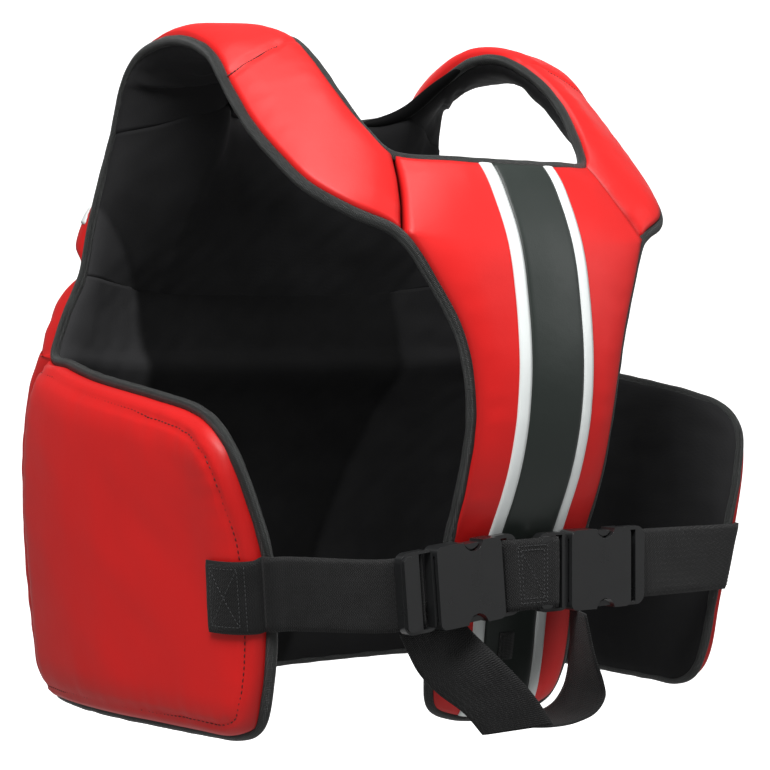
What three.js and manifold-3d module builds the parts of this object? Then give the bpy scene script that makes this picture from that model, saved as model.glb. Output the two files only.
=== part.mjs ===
// A boxing coach's body protector: a padded vest that hangs from the shoulders.
// Millimetres. The wearer faces -Y, +X is the wearer's left, +Z is up.
// The origin is between the shoulders, level with the underside of the shoulder pads.

import * as THREE from 'three';
import Module from 'manifold-3d';
import { mergeVertices } from 'three/addons/utils/BufferGeometryUtils.js';

const wasm = await Module();
wasm.setup();

// Driving dimensions of the whole vest
const HALF_WIDTH = 236; // from the middle of the body to the side
const BACK_DEPTH = 200; // from the shoulder line to the back panel
const DROP = 470; // from the shoulder line to the hem

// Padding: how far each pad swells outward and inward from its own edge surface
const EDGE_THICKNESS = 5;
const ROLL = { belly: 24, chest: 34, wing: 32, shoulder: 26, spine: 30 }; // of each rounded edge
const SWELL = {
  belly: { out: 30, in: 7 },
  chest: { out: 18, in: 6 },
  wing: { out: 21, in: 5 },
  shoulder: { out: 9, in: 8 },
  spine: { out: 9, in: 6 },
};
const LINING_THICKNESS = 1.6;
const SKIN_GAP = 0.35; // between a skin and what it lies on
const SEAM_GAP = 1.3; // from a seam's line to the pad on each side
const CHEST_SEAM_GAP = 2.6; // more where the linings lean towards each other

// Edge binding
const BINDING_WIDTH = 8;
const BINDING_THICKNESS = 7;
const BINDING_SIDES = 6;
const BINDING_STEP = 27;
const BINDING_CLEARANCE = 0.9;
const CUT_GAP = 0.35; // between the binding and the pads cut to meet it

// Band and stripes down the back panel
const BAND_HALF = 23.5;
const STRIPE_WIDTH = 9.5;
const TRIM_THICKNESS = 1;
const TRIM_GAP = 0.6;
const LABEL = { width: 13, height: 19, left: -2, drop: 398, thickness: 0.7 };

// Webbing, buckles and the belt line
const WEBBING = 50;
const WEBBING_THICKNESS = 2;
const WEBBING_CLEARANCE = 0.9; // from the webbing to the bar or slot that it runs over or through
const BELT_DROP = 368;
const BELT_CLEARANCE = 0.5; // from the buckles to the back panel's trim
const WING_BELT_DROP = 370;
const SEWN_LENGTH = 36;
const BUCKLE = {
  bodyLength: 57,
  endLength: 18,
  thickness: 15,
  barThickness: 6,
  frameLength: 29,
  bodyBevel: 3,
  barBevel: 1.5,
  cornerRadius: 7,
  edgeWall: 2.6, // beside a slot
  mouthWall: 6, // beside the mouth
  backWall: 10, // behind the mouth
  notchRadius: 9,
  notchBack: 33,
  notchOut: 2, // the notch's middle lies this far outside the body
  socketSlot: 8,
  plugSlot: 10.5,
  plugInnerBar: 2.5,
  plugStep: 0.6, // the plug's frame is this much lower on each side
  joint: 0.4, // between the socket and the plug's frame
};
const FORK = {
  armReach: 45,
  armWidth: 7.5,
  tongueReach: 30,
  tongueWidth: 10,
  rootReach: 8,
  thickness: 5.2,
  play: 2,
  lift: 1.65,
};
const SLOT_HEIGHT = WEBBING + 2 * WEBBING_CLEARANCE;
const BUCKLE_HEIGHT = SLOT_HEIGHT + 2 * BUCKLE.edgeWall;
const MOUTH_HEIGHT = BUCKLE_HEIGHT - 2 * BUCKLE.mouthWall;
const LEFT_BUCKLE_AT = 94; // where plug and socket meet
const RIGHT_BUCKLE_AT = -28;
const LEFT_BUCKLE_TILT = 5; // degrees, its outer end lower

// Edge stations: across, back and up, as shares of HALF_WIDTH, BACK_DEPTH and DROP
const HEM = [
  [0.0, -0.75, -1.0],
  [0.424, -0.75, -1.0],
  [0.699, -0.71, -1.0],
  [0.847, -0.6, -1.0],
  [0.911, -0.375, -1.0],
  [0.932, -0.075, -1.0],
  [0.919, 0.2, -1.0],
  [0.898, 0.475, -1.0],
  [0.877, 0.64, -0.998],
];
const FREE_EDGE = [
  [0.869, 0.73, -0.981],
  [0.873, 0.78, -0.936],
  [0.881, 0.82, -0.851],
  [0.915, 0.855, -0.74],
  [0.97, 0.845, -0.649],
  [1.008, 0.805, -0.585],
];
const WING_TOP = [
  [1.013, 0.72, -0.551],
  [1.0, 0.585, -0.532],
  [1.0, 0.345, -0.515],
  [1.0, -0.05, -0.491],
  [0.975, -0.275, -0.474],
  [0.941, -0.455, -0.462],
];
const ARMHOLE = [
  [0.869, -0.52, -0.398],
  [0.788, -0.56, -0.332],
  [0.75, -0.57, -0.255],
  [0.712, -0.57, -0.183],
  [0.669, -0.56, -0.102],
];
const SHOULDER = [
  [0.653, -0.52, -0.026],
  [0.665, -0.41, 0.013],
  [0.686, -0.225, 0.03],
  [0.708, -0.01, 0.026],
  [0.729, 0.2, -0.006],
  [0.737, 0.33, -0.064],
  [0.737, 0.46, -0.121],
  [0.72, 0.59, -0.17],
  [0.691, 0.715, -0.213],
  [0.614, 0.84, -0.249],
  [0.483, 0.905, -0.281],
];
const SPINE_SIDE = [
  [0.39, 0.96, -0.353],
  [0.314, 1.0, -0.436],
  [0.275, 0.995, -0.543],
  [0.271, 0.94, -0.643],
  [0.267, 0.86, -0.736],
  [0.263, 0.8, -0.851],
  [0.263, 0.75, -0.936],
  [0.233, 0.72, -0.983],
  [0.148, 0.71, -1.002],
  [0.0, 0.715, -1.009],
];
const NECK = [
  [0.0, -0.5, -0.074],
  [0.212, -0.47, -0.068],
  [0.322, -0.4, -0.06],
  [0.373, -0.31, -0.045],
  [0.411, -0.15, -0.002],
  [0.424, 0.025, 0.03],
  [0.432, 0.19, 0.028],
  [0.453, 0.36, -0.009],
  [0.458, 0.49, -0.057],
  [0.436, 0.61, -0.115],
  [0.386, 0.71, -0.16],
  [0.212, 0.805, -0.168],
  [0.0, 0.84, -0.17],
];
// Rows of NECK where the shoulder pad starts and ends
const NECK_FRONT_INDEX = 3;
const NECK_BACK_INDEX = 10;

// Seams between pads, without the stations that they share with the edges
const CREASE = [
  [0.945, -0.52, -0.511],
  [0.936, -0.58, -0.594],
  [0.915, -0.62, -0.698],
  [0.881, -0.625, -0.851],
];
const CHEST_SEAM_SIDE = [0.508, -0.725, -0.353];
const CHEST_SEAM_MIDDLE = [0.0, -0.77, -0.362];
const FRONT_SEAM = [0.517, -0.465, -0.077];
const BACK_SEAM = [0.428, 0.815, -0.221];

const COLOURS = {
  red: { color: 0xc8201e, roughness: 0.42, metalness: 0 },
  lining: { color: 0x1c1d1f, roughness: 0.9, metalness: 0 },
  binding: { color: 0x3b3d3e, roughness: 0.6, metalness: 0 },
  white: { color: 0xe4ebe8, roughness: 0.45, metalness: 0 },
  band: { color: 0x262c2a, roughness: 0.5, metalness: 0 },
  webbing: { color: 0x1b1c1d, roughness: 0.85, metalness: 0 },
  buckle: { color: 0x2c2e30, roughness: 0.5, metalness: 0 },
};

const vest = new THREE.Group();

function place([across, back, up]) {
  return new THREE.Vector3(across * HALF_WIDTH, back * BACK_DEPTH, up * DROP);
}

function mirrored(point) {
  return new THREE.Vector3(-point.x, point.y, point.z);
}

function addPiece(name, geometry, look) {
  const material = new THREE.MeshStandardMaterial(COLOURS[look]);
  const mesh = new THREE.Mesh(geometry, material);
  mesh.name = name;
  vest.add(mesh);
  return mesh;
}

// A line through points that can be read at any share of its length
class Line {
  constructor(points) {
    this.points = points;
    this.at = [0];
    for (let i = 1; i < points.length; i += 1) {
      this.at.push(this.at[i - 1] + points[i].distanceTo(points[i - 1]));
    }
    this.length = this.at[this.at.length - 1];
  }

  point(share) {
    const want = THREE.MathUtils.clamp(share, 0, 1) * this.length;
    let i = 1;
    while (i < this.at.length - 1 && this.at[i] < want) {
      i += 1;
    }
    const part = (want - this.at[i - 1]) / (this.at[i] - this.at[i - 1]);
    return this.points[i - 1].clone().lerp(this.points[i], part);
  }

  reversed() {
    return new Line([...this.points].reverse());
  }

  mirrored() {
    return new Line(this.points.map(mirrored));
  }
}

const SAMPLES = 12; // points on a smooth line between two stations

// Smooth points through a closed loop of stations: the +X half and its mirror image
function smoothLoop(half) {
  const other = half.slice(1, -1).map(mirrored).reverse();
  const curve = new THREE.CatmullRomCurve3([...half, ...other], true, 'centripetal');
  const count = half.length + other.length;
  const points = [];
  for (let i = 0; i < count * SAMPLES; i += 1) {
    points.push(curve.getPoint(i / (count * SAMPLES)));
  }
  return points;
}

function smoothLine(stations) {
  const curve = new THREE.CatmullRomCurve3(stations, false, 'centripetal');
  return new Line(curve.getPoints((stations.length - 1) * SAMPLES));
}

const outerStations = [
  ...HEM,
  ...FREE_EDGE,
  ...WING_TOP,
  ...ARMHOLE,
  ...SHOULDER,
  ...SPINE_SIDE,
].map(place);
const neckStations = NECK.map(place);
const outerLoop = smoothLoop(outerStations);
const neckLoop = smoothLoop(neckStations);

// Where the pads meet along the outer edge, as numbers of stations
const CREASE_FOOT_INDEX = 3;
const WING_HEEL = HEM.length;
const WING_TIP = HEM.length + FREE_EDGE.length - 1;
const CREASE_HEAD = WING_TIP + WING_TOP.length;
const CHEST_SIDE = CREASE_HEAD + 2;
const SHOULDER_FRONT = CREASE_HEAD + ARMHOLE.length;
const SHOULDER_BACK = SHOULDER_FRONT + SHOULDER.length;
const SPINE_HEEL = outerStations.length - 3;
const SPINE_FOOT = outerStations.length - 1;

function outerEdge(from, to) {
  return new Line(outerLoop.slice(from * SAMPLES, to * SAMPLES + 1));
}

function neckEdge(from, to) {
  return new Line(neckLoop.slice(from * SAMPLES, to * SAMPLES + 1));
}

// A line that runs from the mirror image of a half line's start, over its end, back to that start
function acrossMiddle(half) {
  return new Line([...half.points.map(mirrored), ...[...half.points].reverse().slice(1)]);
}

// A smooth surface between four edge lines; u runs along bottom and top, v along left and right
class Patch {
  constructor({ bottom, top, left, right, swell, insets, roll, relief = () => 1, fade = 1 }) {
    Object.assign(this, { bottom, top, left, right, swell, insets, roll, relief, fade });
    this.wide = (bottom.length + top.length) / 2;
    this.tall = (left.length + right.length) / 2;
  }

  // The bottom line's bow fades out up the patch, sooner with a larger fade
  base(u, v) {
    const low = (1 - v) ** this.fade;
    const high = 1 - low;
    const point = new THREE.Vector3();
    point.addScaledVector(this.left.point(v), 1 - u);
    point.addScaledVector(this.right.point(v), u);
    for (const [line, weight] of [[this.bottom, low], [this.top, high]]) {
      point.addScaledVector(line.point(u), weight);
      point.addScaledVector(line.point(0), -(1 - u) * weight);
      point.addScaledVector(line.point(1), -u * weight);
    }
    return point;
  }

  // Outward from the body: u runs to the wearer's left seen from the front, v up
  normal(u, v) {
    const step = 0.02;
    const [u0, u1] = [Math.max(u - step, 0), Math.min(u + step, 1)];
    const [v0, v1] = [Math.max(v - step, 0), Math.min(v + step, 1)];
    const along = this.base(u1, v).sub(this.base(u0, v));
    const up = this.base(u, v1).sub(this.base(u, v0));
    return along.cross(up).normalize();
  }

  // 0 at the edges and 1 where the pad is full
  fullness(u, v) {
    const round = (distance) => {
      const left = 1 - Math.min(Math.max(distance, 0) / this.roll, 1);
      return Math.sqrt(1 - left * left);
    };
    const acrossWays = round(Math.min(u, 1 - u) * this.wide);
    const upWays = round(Math.min(v, 1 - v) * this.tall);
    const crown = 0.72 + 0.28 * 16 * u * (1 - u) * v * (1 - v);
    return acrossWays * upWays * crown * this.relief(u, v);
  }

  outer(u, v) {
    return EDGE_THICKNESS / 2 + this.swell.out * this.fullness(u, v);
  }

  inner(u, v) {
    return -EDGE_THICKNESS / 2 - this.swell.in * this.fullness(u, v);
  }

  surface(u, v, height) {
    return this.base(u, v).addScaledVector(this.normal(u, v), height);
  }

  // The share of the patch that each grid line takes, closer together near the edges
  shares(count, side0, side1, length) {
    const low = this.insets[side0] / length;
    const high = 1 - this.insets[side1] / length;
    const out = [];
    for (let i = 0; i <= count; i += 1) {
      const even = i / count;
      const eased = (1 - Math.cos(Math.PI * even)) / 2;
      out.push(low + (high - low) * (0.4 * even + 0.6 * eased));
    }
    return out;
  }

  grid(across, up) {
    return {
      us: this.shares(across, 'left', 'right', this.wide),
      vs: this.shares(up, 'bottom', 'top', this.tall),
    };
  }
}

// A closed solid between two grids of points that face each other
function slabGeometry(lower, upper) {
  const rows = lower.length;
  const columns = lower[0].length;
  const positions = [];
  for (const grid of [lower, upper]) {
    for (const row of grid) {
      for (const point of row) {
        positions.push(point.x, point.y, point.z);
      }
    }
  }
  const index = (layer, row, column) => (layer * rows + row) * columns + column;
  const triangles = [];
  const quad = (a, b, c, d) => triangles.push(a, b, c, a, c, d);
  for (let r = 0; r < rows - 1; r += 1) {
    for (let c = 0; c < columns - 1; c += 1) {
      quad(index(1, r, c), index(1, r, c + 1), index(1, r + 1, c + 1), index(1, r + 1, c));
      quad(index(0, r, c), index(0, r + 1, c), index(0, r + 1, c + 1), index(0, r, c + 1));
    }
  }
  const top = rows - 1;
  const end = columns - 1;
  for (let c = 0; c < end; c += 1) {
    quad(index(0, 0, c), index(0, 0, c + 1), index(1, 0, c + 1), index(1, 0, c));
    quad(index(0, top, c + 1), index(0, top, c), index(1, top, c), index(1, top, c + 1));
  }
  for (let r = 0; r < top; r += 1) {
    quad(index(0, r + 1, 0), index(0, r, 0), index(1, r, 0), index(1, r + 1, 0));
    quad(index(0, r, end), index(0, r + 1, end), index(1, r + 1, end), index(1, r, end));
  }
  const geometry = new THREE.BufferGeometry();
  geometry.setAttribute('position', new THREE.Float32BufferAttribute(positions, 3));
  geometry.setIndex(triangles);
  return geometry;
}

function patchSlab(patch, { us, vs }, low, high) {
  const layer = (height) => vs.map((v) => us.map((u) => patch.surface(u, v, height(u, v))));
  return slabGeometry(layer(low), layer(high));
}

function padGeometry(patch, grid) {
  return patchSlab(
    patch,
    grid,
    (u, v) => patch.inner(u, v),
    (u, v) => patch.outer(u, v),
  );
}

function liningGeometry(patch, grid) {
  return patchSlab(
    patch,
    grid,
    (u, v) => patch.inner(u, v) - SKIN_GAP - LINING_THICKNESS,
    (u, v) => patch.inner(u, v) - SKIN_GAP,
  );
}

// The mirror image of a closed geometry, with its faces turned outward again
function mirrorGeometry(geometry) {
  const copy = geometry.clone();
  copy.scale(-1, 1, 1);
  const index = copy.getIndex();
  for (let i = 0; i < index.count; i += 3) {
    const second = index.getX(i + 1);
    index.setX(i + 1, index.getX(i + 2));
    index.setX(i + 2, second);
  }
  return copy;
}

function addPair(name, geometry, look, finish = (piece) => piece) {
  addPiece(`left_${name}`, finish(geometry), look);
  addPiece(`right_${name}`, finish(mirrorGeometry(geometry)), look);
}

const BINDING_INSET = BINDING_WIDTH / 2 + BINDING_CLEARANCE;

// The seams, as lines on the wearer's left
const crease = smoothLine([
  outerStations[CREASE_FOOT_INDEX],
  ...CREASE.map(place).reverse(),
  outerStations[CREASE_HEAD],
]);
const chestSeamHalf = smoothLine([
  outerStations[CHEST_SIDE],
  place(CHEST_SEAM_SIDE),
  place(CHEST_SEAM_MIDDLE),
  mirrored(place(CHEST_SEAM_SIDE)),
  mirrored(outerStations[CHEST_SIDE]),
]);
const frontSeam = smoothLine([
  neckStations[NECK_FRONT_INDEX],
  place(FRONT_SEAM),
  outerStations[SHOULDER_FRONT],
]);
const backSeam = smoothLine([
  neckStations[NECK_BACK_INDEX],
  place(BACK_SEAM),
  outerStations[SHOULDER_BACK],
]);

function joined(...lines) {
  const points = lines.flatMap((line, i) => (i ? line.points.slice(1) : line.points));
  return new Line(points);
}

const bellySide = joined(crease, outerEdge(CREASE_HEAD, CHEST_SIDE));
const belly = new Patch({
  bottom: acrossMiddle(outerEdge(0, CREASE_FOOT_INDEX).reversed()),
  top: chestSeamHalf.reversed(),
  left: bellySide.mirrored(),
  right: bellySide,
  swell: SWELL.belly,
  roll: ROLL.belly,
  insets: { left: BINDING_INSET, right: BINDING_INSET, bottom: BINDING_INSET, top: CHEST_SEAM_GAP },
});

const chestTopHalf = joined(
  frontSeam.reversed(),
  neckEdge(0, NECK_FRONT_INDEX).reversed(),
);
const chestSide = outerEdge(CHEST_SIDE, SHOULDER_FRONT);
const chest = new Patch({
  bottom: chestSeamHalf.reversed(),
  top: acrossMiddle(chestTopHalf),
  left: chestSide.mirrored(),
  right: chestSide,
  swell: SWELL.chest,
  roll: ROLL.chest,
  insets: { left: BINDING_INSET, right: BINDING_INSET, bottom: CHEST_SEAM_GAP, top: BINDING_INSET },
});

const wing = new Patch({
  bottom: outerEdge(CREASE_FOOT_INDEX, WING_HEEL),
  top: outerEdge(WING_TIP, CREASE_HEAD).reversed(),
  left: crease,
  right: outerEdge(WING_HEEL, WING_TIP),
  swell: SWELL.wing,
  roll: ROLL.wing,
  insets: { left: SEAM_GAP, right: BINDING_INSET, bottom: BINDING_INSET, top: BINDING_INSET },
});

const shoulder = new Patch({
  bottom: frontSeam,
  top: backSeam,
  left: neckEdge(NECK_FRONT_INDEX, NECK_BACK_INDEX),
  right: outerEdge(SHOULDER_FRONT, SHOULDER_BACK),
  swell: SWELL.shoulder,
  roll: ROLL.shoulder,
  insets: { left: BINDING_INSET, right: BINDING_INSET, bottom: SEAM_GAP, top: SEAM_GAP },
});

// The back panel is pressed flatter where the belt crosses it
const BELT_PRESS = { share: 0.9, height: 62 };
const spineSide = outerEdge(SHOULDER_BACK, SPINE_HEEL);
const spine = new Patch({
  bottom: acrossMiddle(neckEdge(NECK_BACK_INDEX, NECK.length - 1)),
  top: acrossMiddle(outerEdge(SPINE_HEEL, SPINE_FOOT)),
  left: joined(backSeam, spineSide).mirrored(),
  right: joined(backSeam, spineSide),
  swell: SWELL.spine,
  roll: ROLL.spine,
  fade: 3,
  insets: { left: BINDING_INSET, right: BINDING_INSET, bottom: BINDING_INSET, top: BINDING_INSET },
  relief(u, v) {
    const away = (this.base(u, v).z + BELT_DROP) / BELT_PRESS.height;
    return 1 - BELT_PRESS.share * Math.exp(-away * away);
  },
});

// Binding: an oval section swept round a closed loop of points
const BODY_MIDDLE = new THREE.Vector3(0, 0.12 * BACK_DEPTH, -0.34 * DROP);

function bindingGeometry(loop, grow = 0) {
  const closed = new Line([...loop, loop[0]]);
  const count = 2 * Math.round(closed.length / BINDING_STEP / 2);
  const positions = [];
  const triangles = [];
  for (let i = 0; i < count; i += 1) {
    const point = closed.point(i / count);
    const ahead = closed.point(((i + 0.3) % count) / count);
    const behind = closed.point(((i - 0.3 + count) % count) / count);
    const tangent = ahead.sub(behind).normalize();
    const normal = point.clone().sub(BODY_MIDDLE);
    normal.addScaledVector(tangent, -normal.dot(tangent)).normalize();
    const across = tangent.clone().cross(normal);
    for (let k = 0; k < BINDING_SIDES; k += 1) {
      const angle = (2 * Math.PI * k) / BINDING_SIDES;
      const corner = point.clone();
      corner.addScaledVector(across, (Math.cos(angle) * BINDING_WIDTH) / 2 + Math.cos(angle) * grow);
      corner.addScaledVector(normal, (Math.sin(angle) * BINDING_THICKNESS) / 2 + Math.sin(angle) * grow);
      positions.push(corner.x, corner.y, corner.z);
    }
  }
  for (let i = 0; i < count; i += 1) {
    const next = (i + 1) % count;
    for (let k = 0; k < BINDING_SIDES; k += 1) {
      const turn = (k + 1) % BINDING_SIDES;
      const [a, b] = [i * BINDING_SIDES + k, i * BINDING_SIDES + turn];
      const [c, d] = [next * BINDING_SIDES + turn, next * BINDING_SIDES + k];
      triangles.push(a, c, b, a, d, c);
    }
  }
  const geometry = new THREE.BufferGeometry();
  geometry.setAttribute('position', new THREE.Float32BufferAttribute(positions, 3));
  geometry.setIndex(triangles);
  return outwardFacing(geometry);
}

function volumeOf(geometry) {
  const position = geometry.getAttribute('position');
  const index = geometry.getIndex();
  const corner = (i) => new THREE.Vector3().fromBufferAttribute(position, index.getX(i));
  let volume = 0;
  for (let i = 0; i < index.count; i += 3) {
    volume += corner(i).dot(corner(i + 1).cross(corner(i + 2))) / 6;
  }
  return volume;
}

function outwardFacing(geometry) {
  if (volumeOf(geometry) < 0) {
    const index = geometry.getIndex();
    for (let i = 0; i < index.count; i += 3) {
      const second = index.getX(i + 1);
      index.setX(i + 1, index.getX(i + 2));
      index.setX(i + 2, second);
    }
  }
  return geometry;
}

addPiece('outer_binding', bindingGeometry(outerLoop), 'binding');
addPiece('neck_binding', bindingGeometry(neckLoop), 'binding');

// Cuts and joins of closed geometries
function solidOf(geometry) {
  const bare = new THREE.BufferGeometry();
  bare.setAttribute('position', geometry.getAttribute('position'));
  bare.setIndex(geometry.getIndex());
  const merged = mergeVertices(bare, 1e-3);
  const mesh = new wasm.Mesh({
    numProp: 3,
    vertProperties: new Float32Array(merged.getAttribute('position').array),
    triVerts: new Uint32Array(merged.getIndex().array),
  });
  return new wasm.Manifold(mesh);
}

function geometryOf(solid) {
  const mesh = solid.getMesh();
  const geometry = new THREE.BufferGeometry();
  geometry.setAttribute('position', new THREE.Float32BufferAttribute(mesh.vertProperties, 3));
  geometry.setIndex(new THREE.Uint32BufferAttribute(mesh.triVerts, 1));
  return geometry;
}

const bindingRoom = [outerLoop, neckLoop].map((loop) => solidOf(bindingGeometry(loop, CUT_GAP)));

// A pad or lining, cut back to a small gap from the binding round it, without the slivers cut off
function clearOfBinding(geometry) {
  let solid = solidOf(geometry);
  for (const room of bindingRoom) {
    solid = solid.subtract(room);
  }
  const parts = solid.decompose();
  return geometryOf(parts.reduce((a, b) => (a.volume() > b.volume() ? a : b)));
}

// Pads and their linings, and how finely each is divided
const MIDDLE_PIECES = {
  belly: { patch: belly, grid: belly.grid(14, 9) },
  chest: { patch: chest, grid: chest.grid(12, 5) },
  spine: { patch: spine, grid: spine.grid(6, 15) },
};
for (const [name, { patch, grid }] of Object.entries(MIDDLE_PIECES)) {
  addPiece(`${name}_pad`, clearOfBinding(padGeometry(patch, grid)), 'red');
  addPiece(`${name}_lining`, clearOfBinding(liningGeometry(patch, grid)), 'lining');
}
const SIDE_PIECES = {
  wing: { patch: wing, grid: wing.grid(8, 7) },
  shoulder: { patch: shoulder, grid: shoulder.grid(5, 14) },
};
for (const [name, { patch, grid }] of Object.entries(SIDE_PIECES)) {
  addPair(`${name}_pad`, padGeometry(patch, grid), 'red', clearOfBinding);
  addPair(`${name}_lining`, liningGeometry(patch, grid), 'lining', clearOfBinding);
}

// Trim that lies on a patch's outer face, between two lines across it
function shareAcross(patch, x, v) {
  let low = 0;
  let high = 1;
  const rising = patch.base(1, v).x > patch.base(0, v).x;
  for (let i = 0; i < 24; i += 1) {
    const middle = (low + high) / 2;
    if (patch.base(middle, v).x < x === rising) {
      low = middle;
    } else {
      high = middle;
    }
  }
  return (low + high) / 2;
}

function trimGeometry(patch, xs, vs, thickness = TRIM_THICKNESS, lift = TRIM_GAP) {
  const layer = (height) =>
    vs.map((v) =>
      xs.map((x) => {
        const u = shareAcross(patch, x, v);
        return patch.surface(u, v, patch.outer(u, v) + height);
      }),
    );
  return outwardFacing(slabGeometry(layer(lift), layer(lift + thickness)));
}

const spineRows = MIDDLE_PIECES.spine.grid.vs;
const stripeInner = BAND_HALF + TRIM_GAP;
const stripeOuter = stripeInner + STRIPE_WIDTH;
const bandColumns = [-1, -0.6, -0.2, 0.2, 0.6, 1].map((share) => share * BAND_HALF);
addPiece('spine_band', trimGeometry(spine, bandColumns, spineRows), 'band');
const stripe = trimGeometry(spine, [stripeInner, stripeOuter], spineRows);
addPair('spine_stripe', stripe, 'white');


// The share up a line at which it reaches a height, on a line that only rises or only falls
function shareAtHeight(line, z) {
  let low = 0;
  let high = 1;
  const rising = line.point(1).z > line.point(0).z;
  for (let i = 0; i < 24; i += 1) {
    const middle = (low + high) / 2;
    if (line.point(middle).z < z === rising) {
      low = middle;
    } else {
      high = middle;
    }
  }
  return (low + high) / 2;
}

// The white strip across the chest, which shows beside the armhole
const CHEST_STRIPE = { top: 103, bottom: 117 };
const chestColumns = MIDDLE_PIECES.chest.grid.us;
const stripeLow = shareAtHeight(chestSide, -CHEST_STRIPE.bottom);
const stripeHigh = shareAtHeight(chestSide, -CHEST_STRIPE.top);
const stripeRows = [stripeLow, (stripeLow + stripeHigh) / 2, stripeHigh];
const chestStripe = patchSlab(
  chest,
  { us: chestColumns, vs: stripeRows },
  (u, v) => chest.outer(u, v) + 2 * TRIM_GAP,
  (u, v) => chest.outer(u, v) + 2 * TRIM_GAP + TRIM_THICKNESS,
);
addPiece('chest_stripe', clearOfBinding(chestStripe), 'white');

// The small bare tag on the band
const labelDrops = [LABEL.drop + LABEL.height, LABEL.drop];
const labelRows = labelDrops.map((drop) => shareAtHeight(spine.right, -drop));
const labelColumns = [LABEL.left, LABEL.left + LABEL.width];
const labelLift = 2 * TRIM_GAP + TRIM_THICKNESS;
const label = trimGeometry(spine, labelColumns, labelRows, LABEL.thickness, labelLift);
addPiece('label', label, 'binding');

// Flat webbing between two edge lines that have a point for each other
function ribbonGeometry(firstEdge, secondEdge, thickness = WEBBING_THICKNESS) {
  const lower = [];
  const upper = [];
  firstEdge.forEach((first, i) => {
    const second = secondEdge[i];
    const before = Math.max(i - 1, 0);
    const after = Math.min(i + 1, firstEdge.length - 1);
    const along = firstEdge[after].clone().add(secondEdge[after]);
    along.sub(firstEdge[before]).sub(secondEdge[before]);
    const normal = along.cross(second.clone().sub(first)).normalize();
    const side = (point, sign) => point.clone().addScaledVector(normal, (sign * thickness) / 2);
    lower.push([side(first, -1), side(second, -1)]);
    upper.push([side(first, 1), side(second, 1)]);
  });
  return outwardFacing(slabGeometry(lower, upper));
}

// How the webbing turns round the wing's binding: across and back, as shares of its reach
const BINDING_REACH = BINDING_WIDTH / 2 + WEBBING_THICKNESS / 2 + TRIM_GAP;
const LEAVING = [
  [1, 0.27],
  [0.93, 0.98],
  [0.27, 1.54],
  [-1.25, 1.75],
];

// Then it goes behind a buckle's bar and up into its slot, from the bar's outer edge
const BAR_REACH = BUCKLE.barThickness / 2 + WEBBING_THICKNESS / 2 + WEBBING_CLEARANCE;
function threading(barWidth) {
  return [
    [BAR_REACH, -BAR_REACH],
    [1 - barWidth, -BAR_REACH],
    [-0.5 * BAR_REACH - barWidth, -0.74 * BAR_REACH],
    [-0.92 * BAR_REACH - barWidth, 0.1 * BAR_REACH],
  ];
}

// A strap on the wearer's left, sewn to the wing and threaded behind a bar.
// fromBar turns a place given from the bar's outer edge into one on the vest.
function strapGeometry(fromBar, barWidth) {
  const sewnShare = SEWN_LENGTH / wing.wide;
  const edge = (side) => {
    const drop = WING_BELT_DROP - (side * WEBBING) / 2;
    const points = [];
    for (const share of [1, 0.8, 0.6, 0.4, 0.2, 0.06]) {
      const u = 1 - share * sewnShare;
      const v = shareAtHeight({ point: (up) => wing.base(u, up) }, -drop);
      const clear = Math.max(wing.outer(u, v), BINDING_THICKNESS / 2);
      points.push(wing.surface(u, v, clear + WEBBING_THICKNESS / 2 + 2 * TRIM_GAP));
    }
    const rim = wing.right.point(shareAtHeight(wing.right, -drop));
    for (const [across, back] of LEAVING) {
      const turn = new THREE.Vector3(across, back, 0);
      points.push(rim.clone().addScaledVector(turn, BINDING_REACH));
    }
    for (const [past, back] of threading(barWidth)) {
      points.push(fromBar(new THREE.Vector3(past, back, (side * WEBBING) / 2)));
    }
    return points;
  };
  return ribbonGeometry(edge(1), edge(-1));
}

// Fastened side release buckles, drawn across the belt with their plug towards the wearer's left
function plateGeometry(outline, thickness, bevel) {
  const geometry = new THREE.ExtrudeGeometry(outline, {
    depth: thickness - 2 * bevel,
    bevelEnabled: bevel > 0,
    bevelThickness: bevel,
    bevelSize: bevel,
    bevelOffset: -bevel,
    bevelSegments: 1,
    curveSegments: 3,
  });
  geometry.translate(0, 0, bevel - thickness / 2);
  geometry.rotateX(Math.PI / 2);
  return geometry;
}

function roundedOutline(low, high, height, radius) {
  const half = height / 2;
  const shape = new THREE.Shape();
  shape.moveTo(low + radius, -half);
  shape.lineTo(high - radius, -half);
  shape.absarc(high - radius, -half + radius, radius, -Math.PI / 2, 0, false);
  shape.absarc(high - radius, half - radius, radius, 0, Math.PI / 2, false);
  shape.absarc(low + radius, half - radius, radius, Math.PI / 2, Math.PI, false);
  shape.absarc(low + radius, -half + radius, radius, Math.PI, 1.5 * Math.PI, false);
  return shape;
}

function boxSolid([x0, x1], [y0, y1], [z0, z1]) {
  const geometry = new THREE.BoxGeometry(x1 - x0, y1 - y0, z1 - z0);
  geometry.translate((x0 + x1) / 2, (y0 + y1) / 2, (z0 + z1) / 2);
  return solidOf(geometry);
}

function around(middle, size) {
  return [middle - size / 2, middle + size / 2];
}

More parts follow.
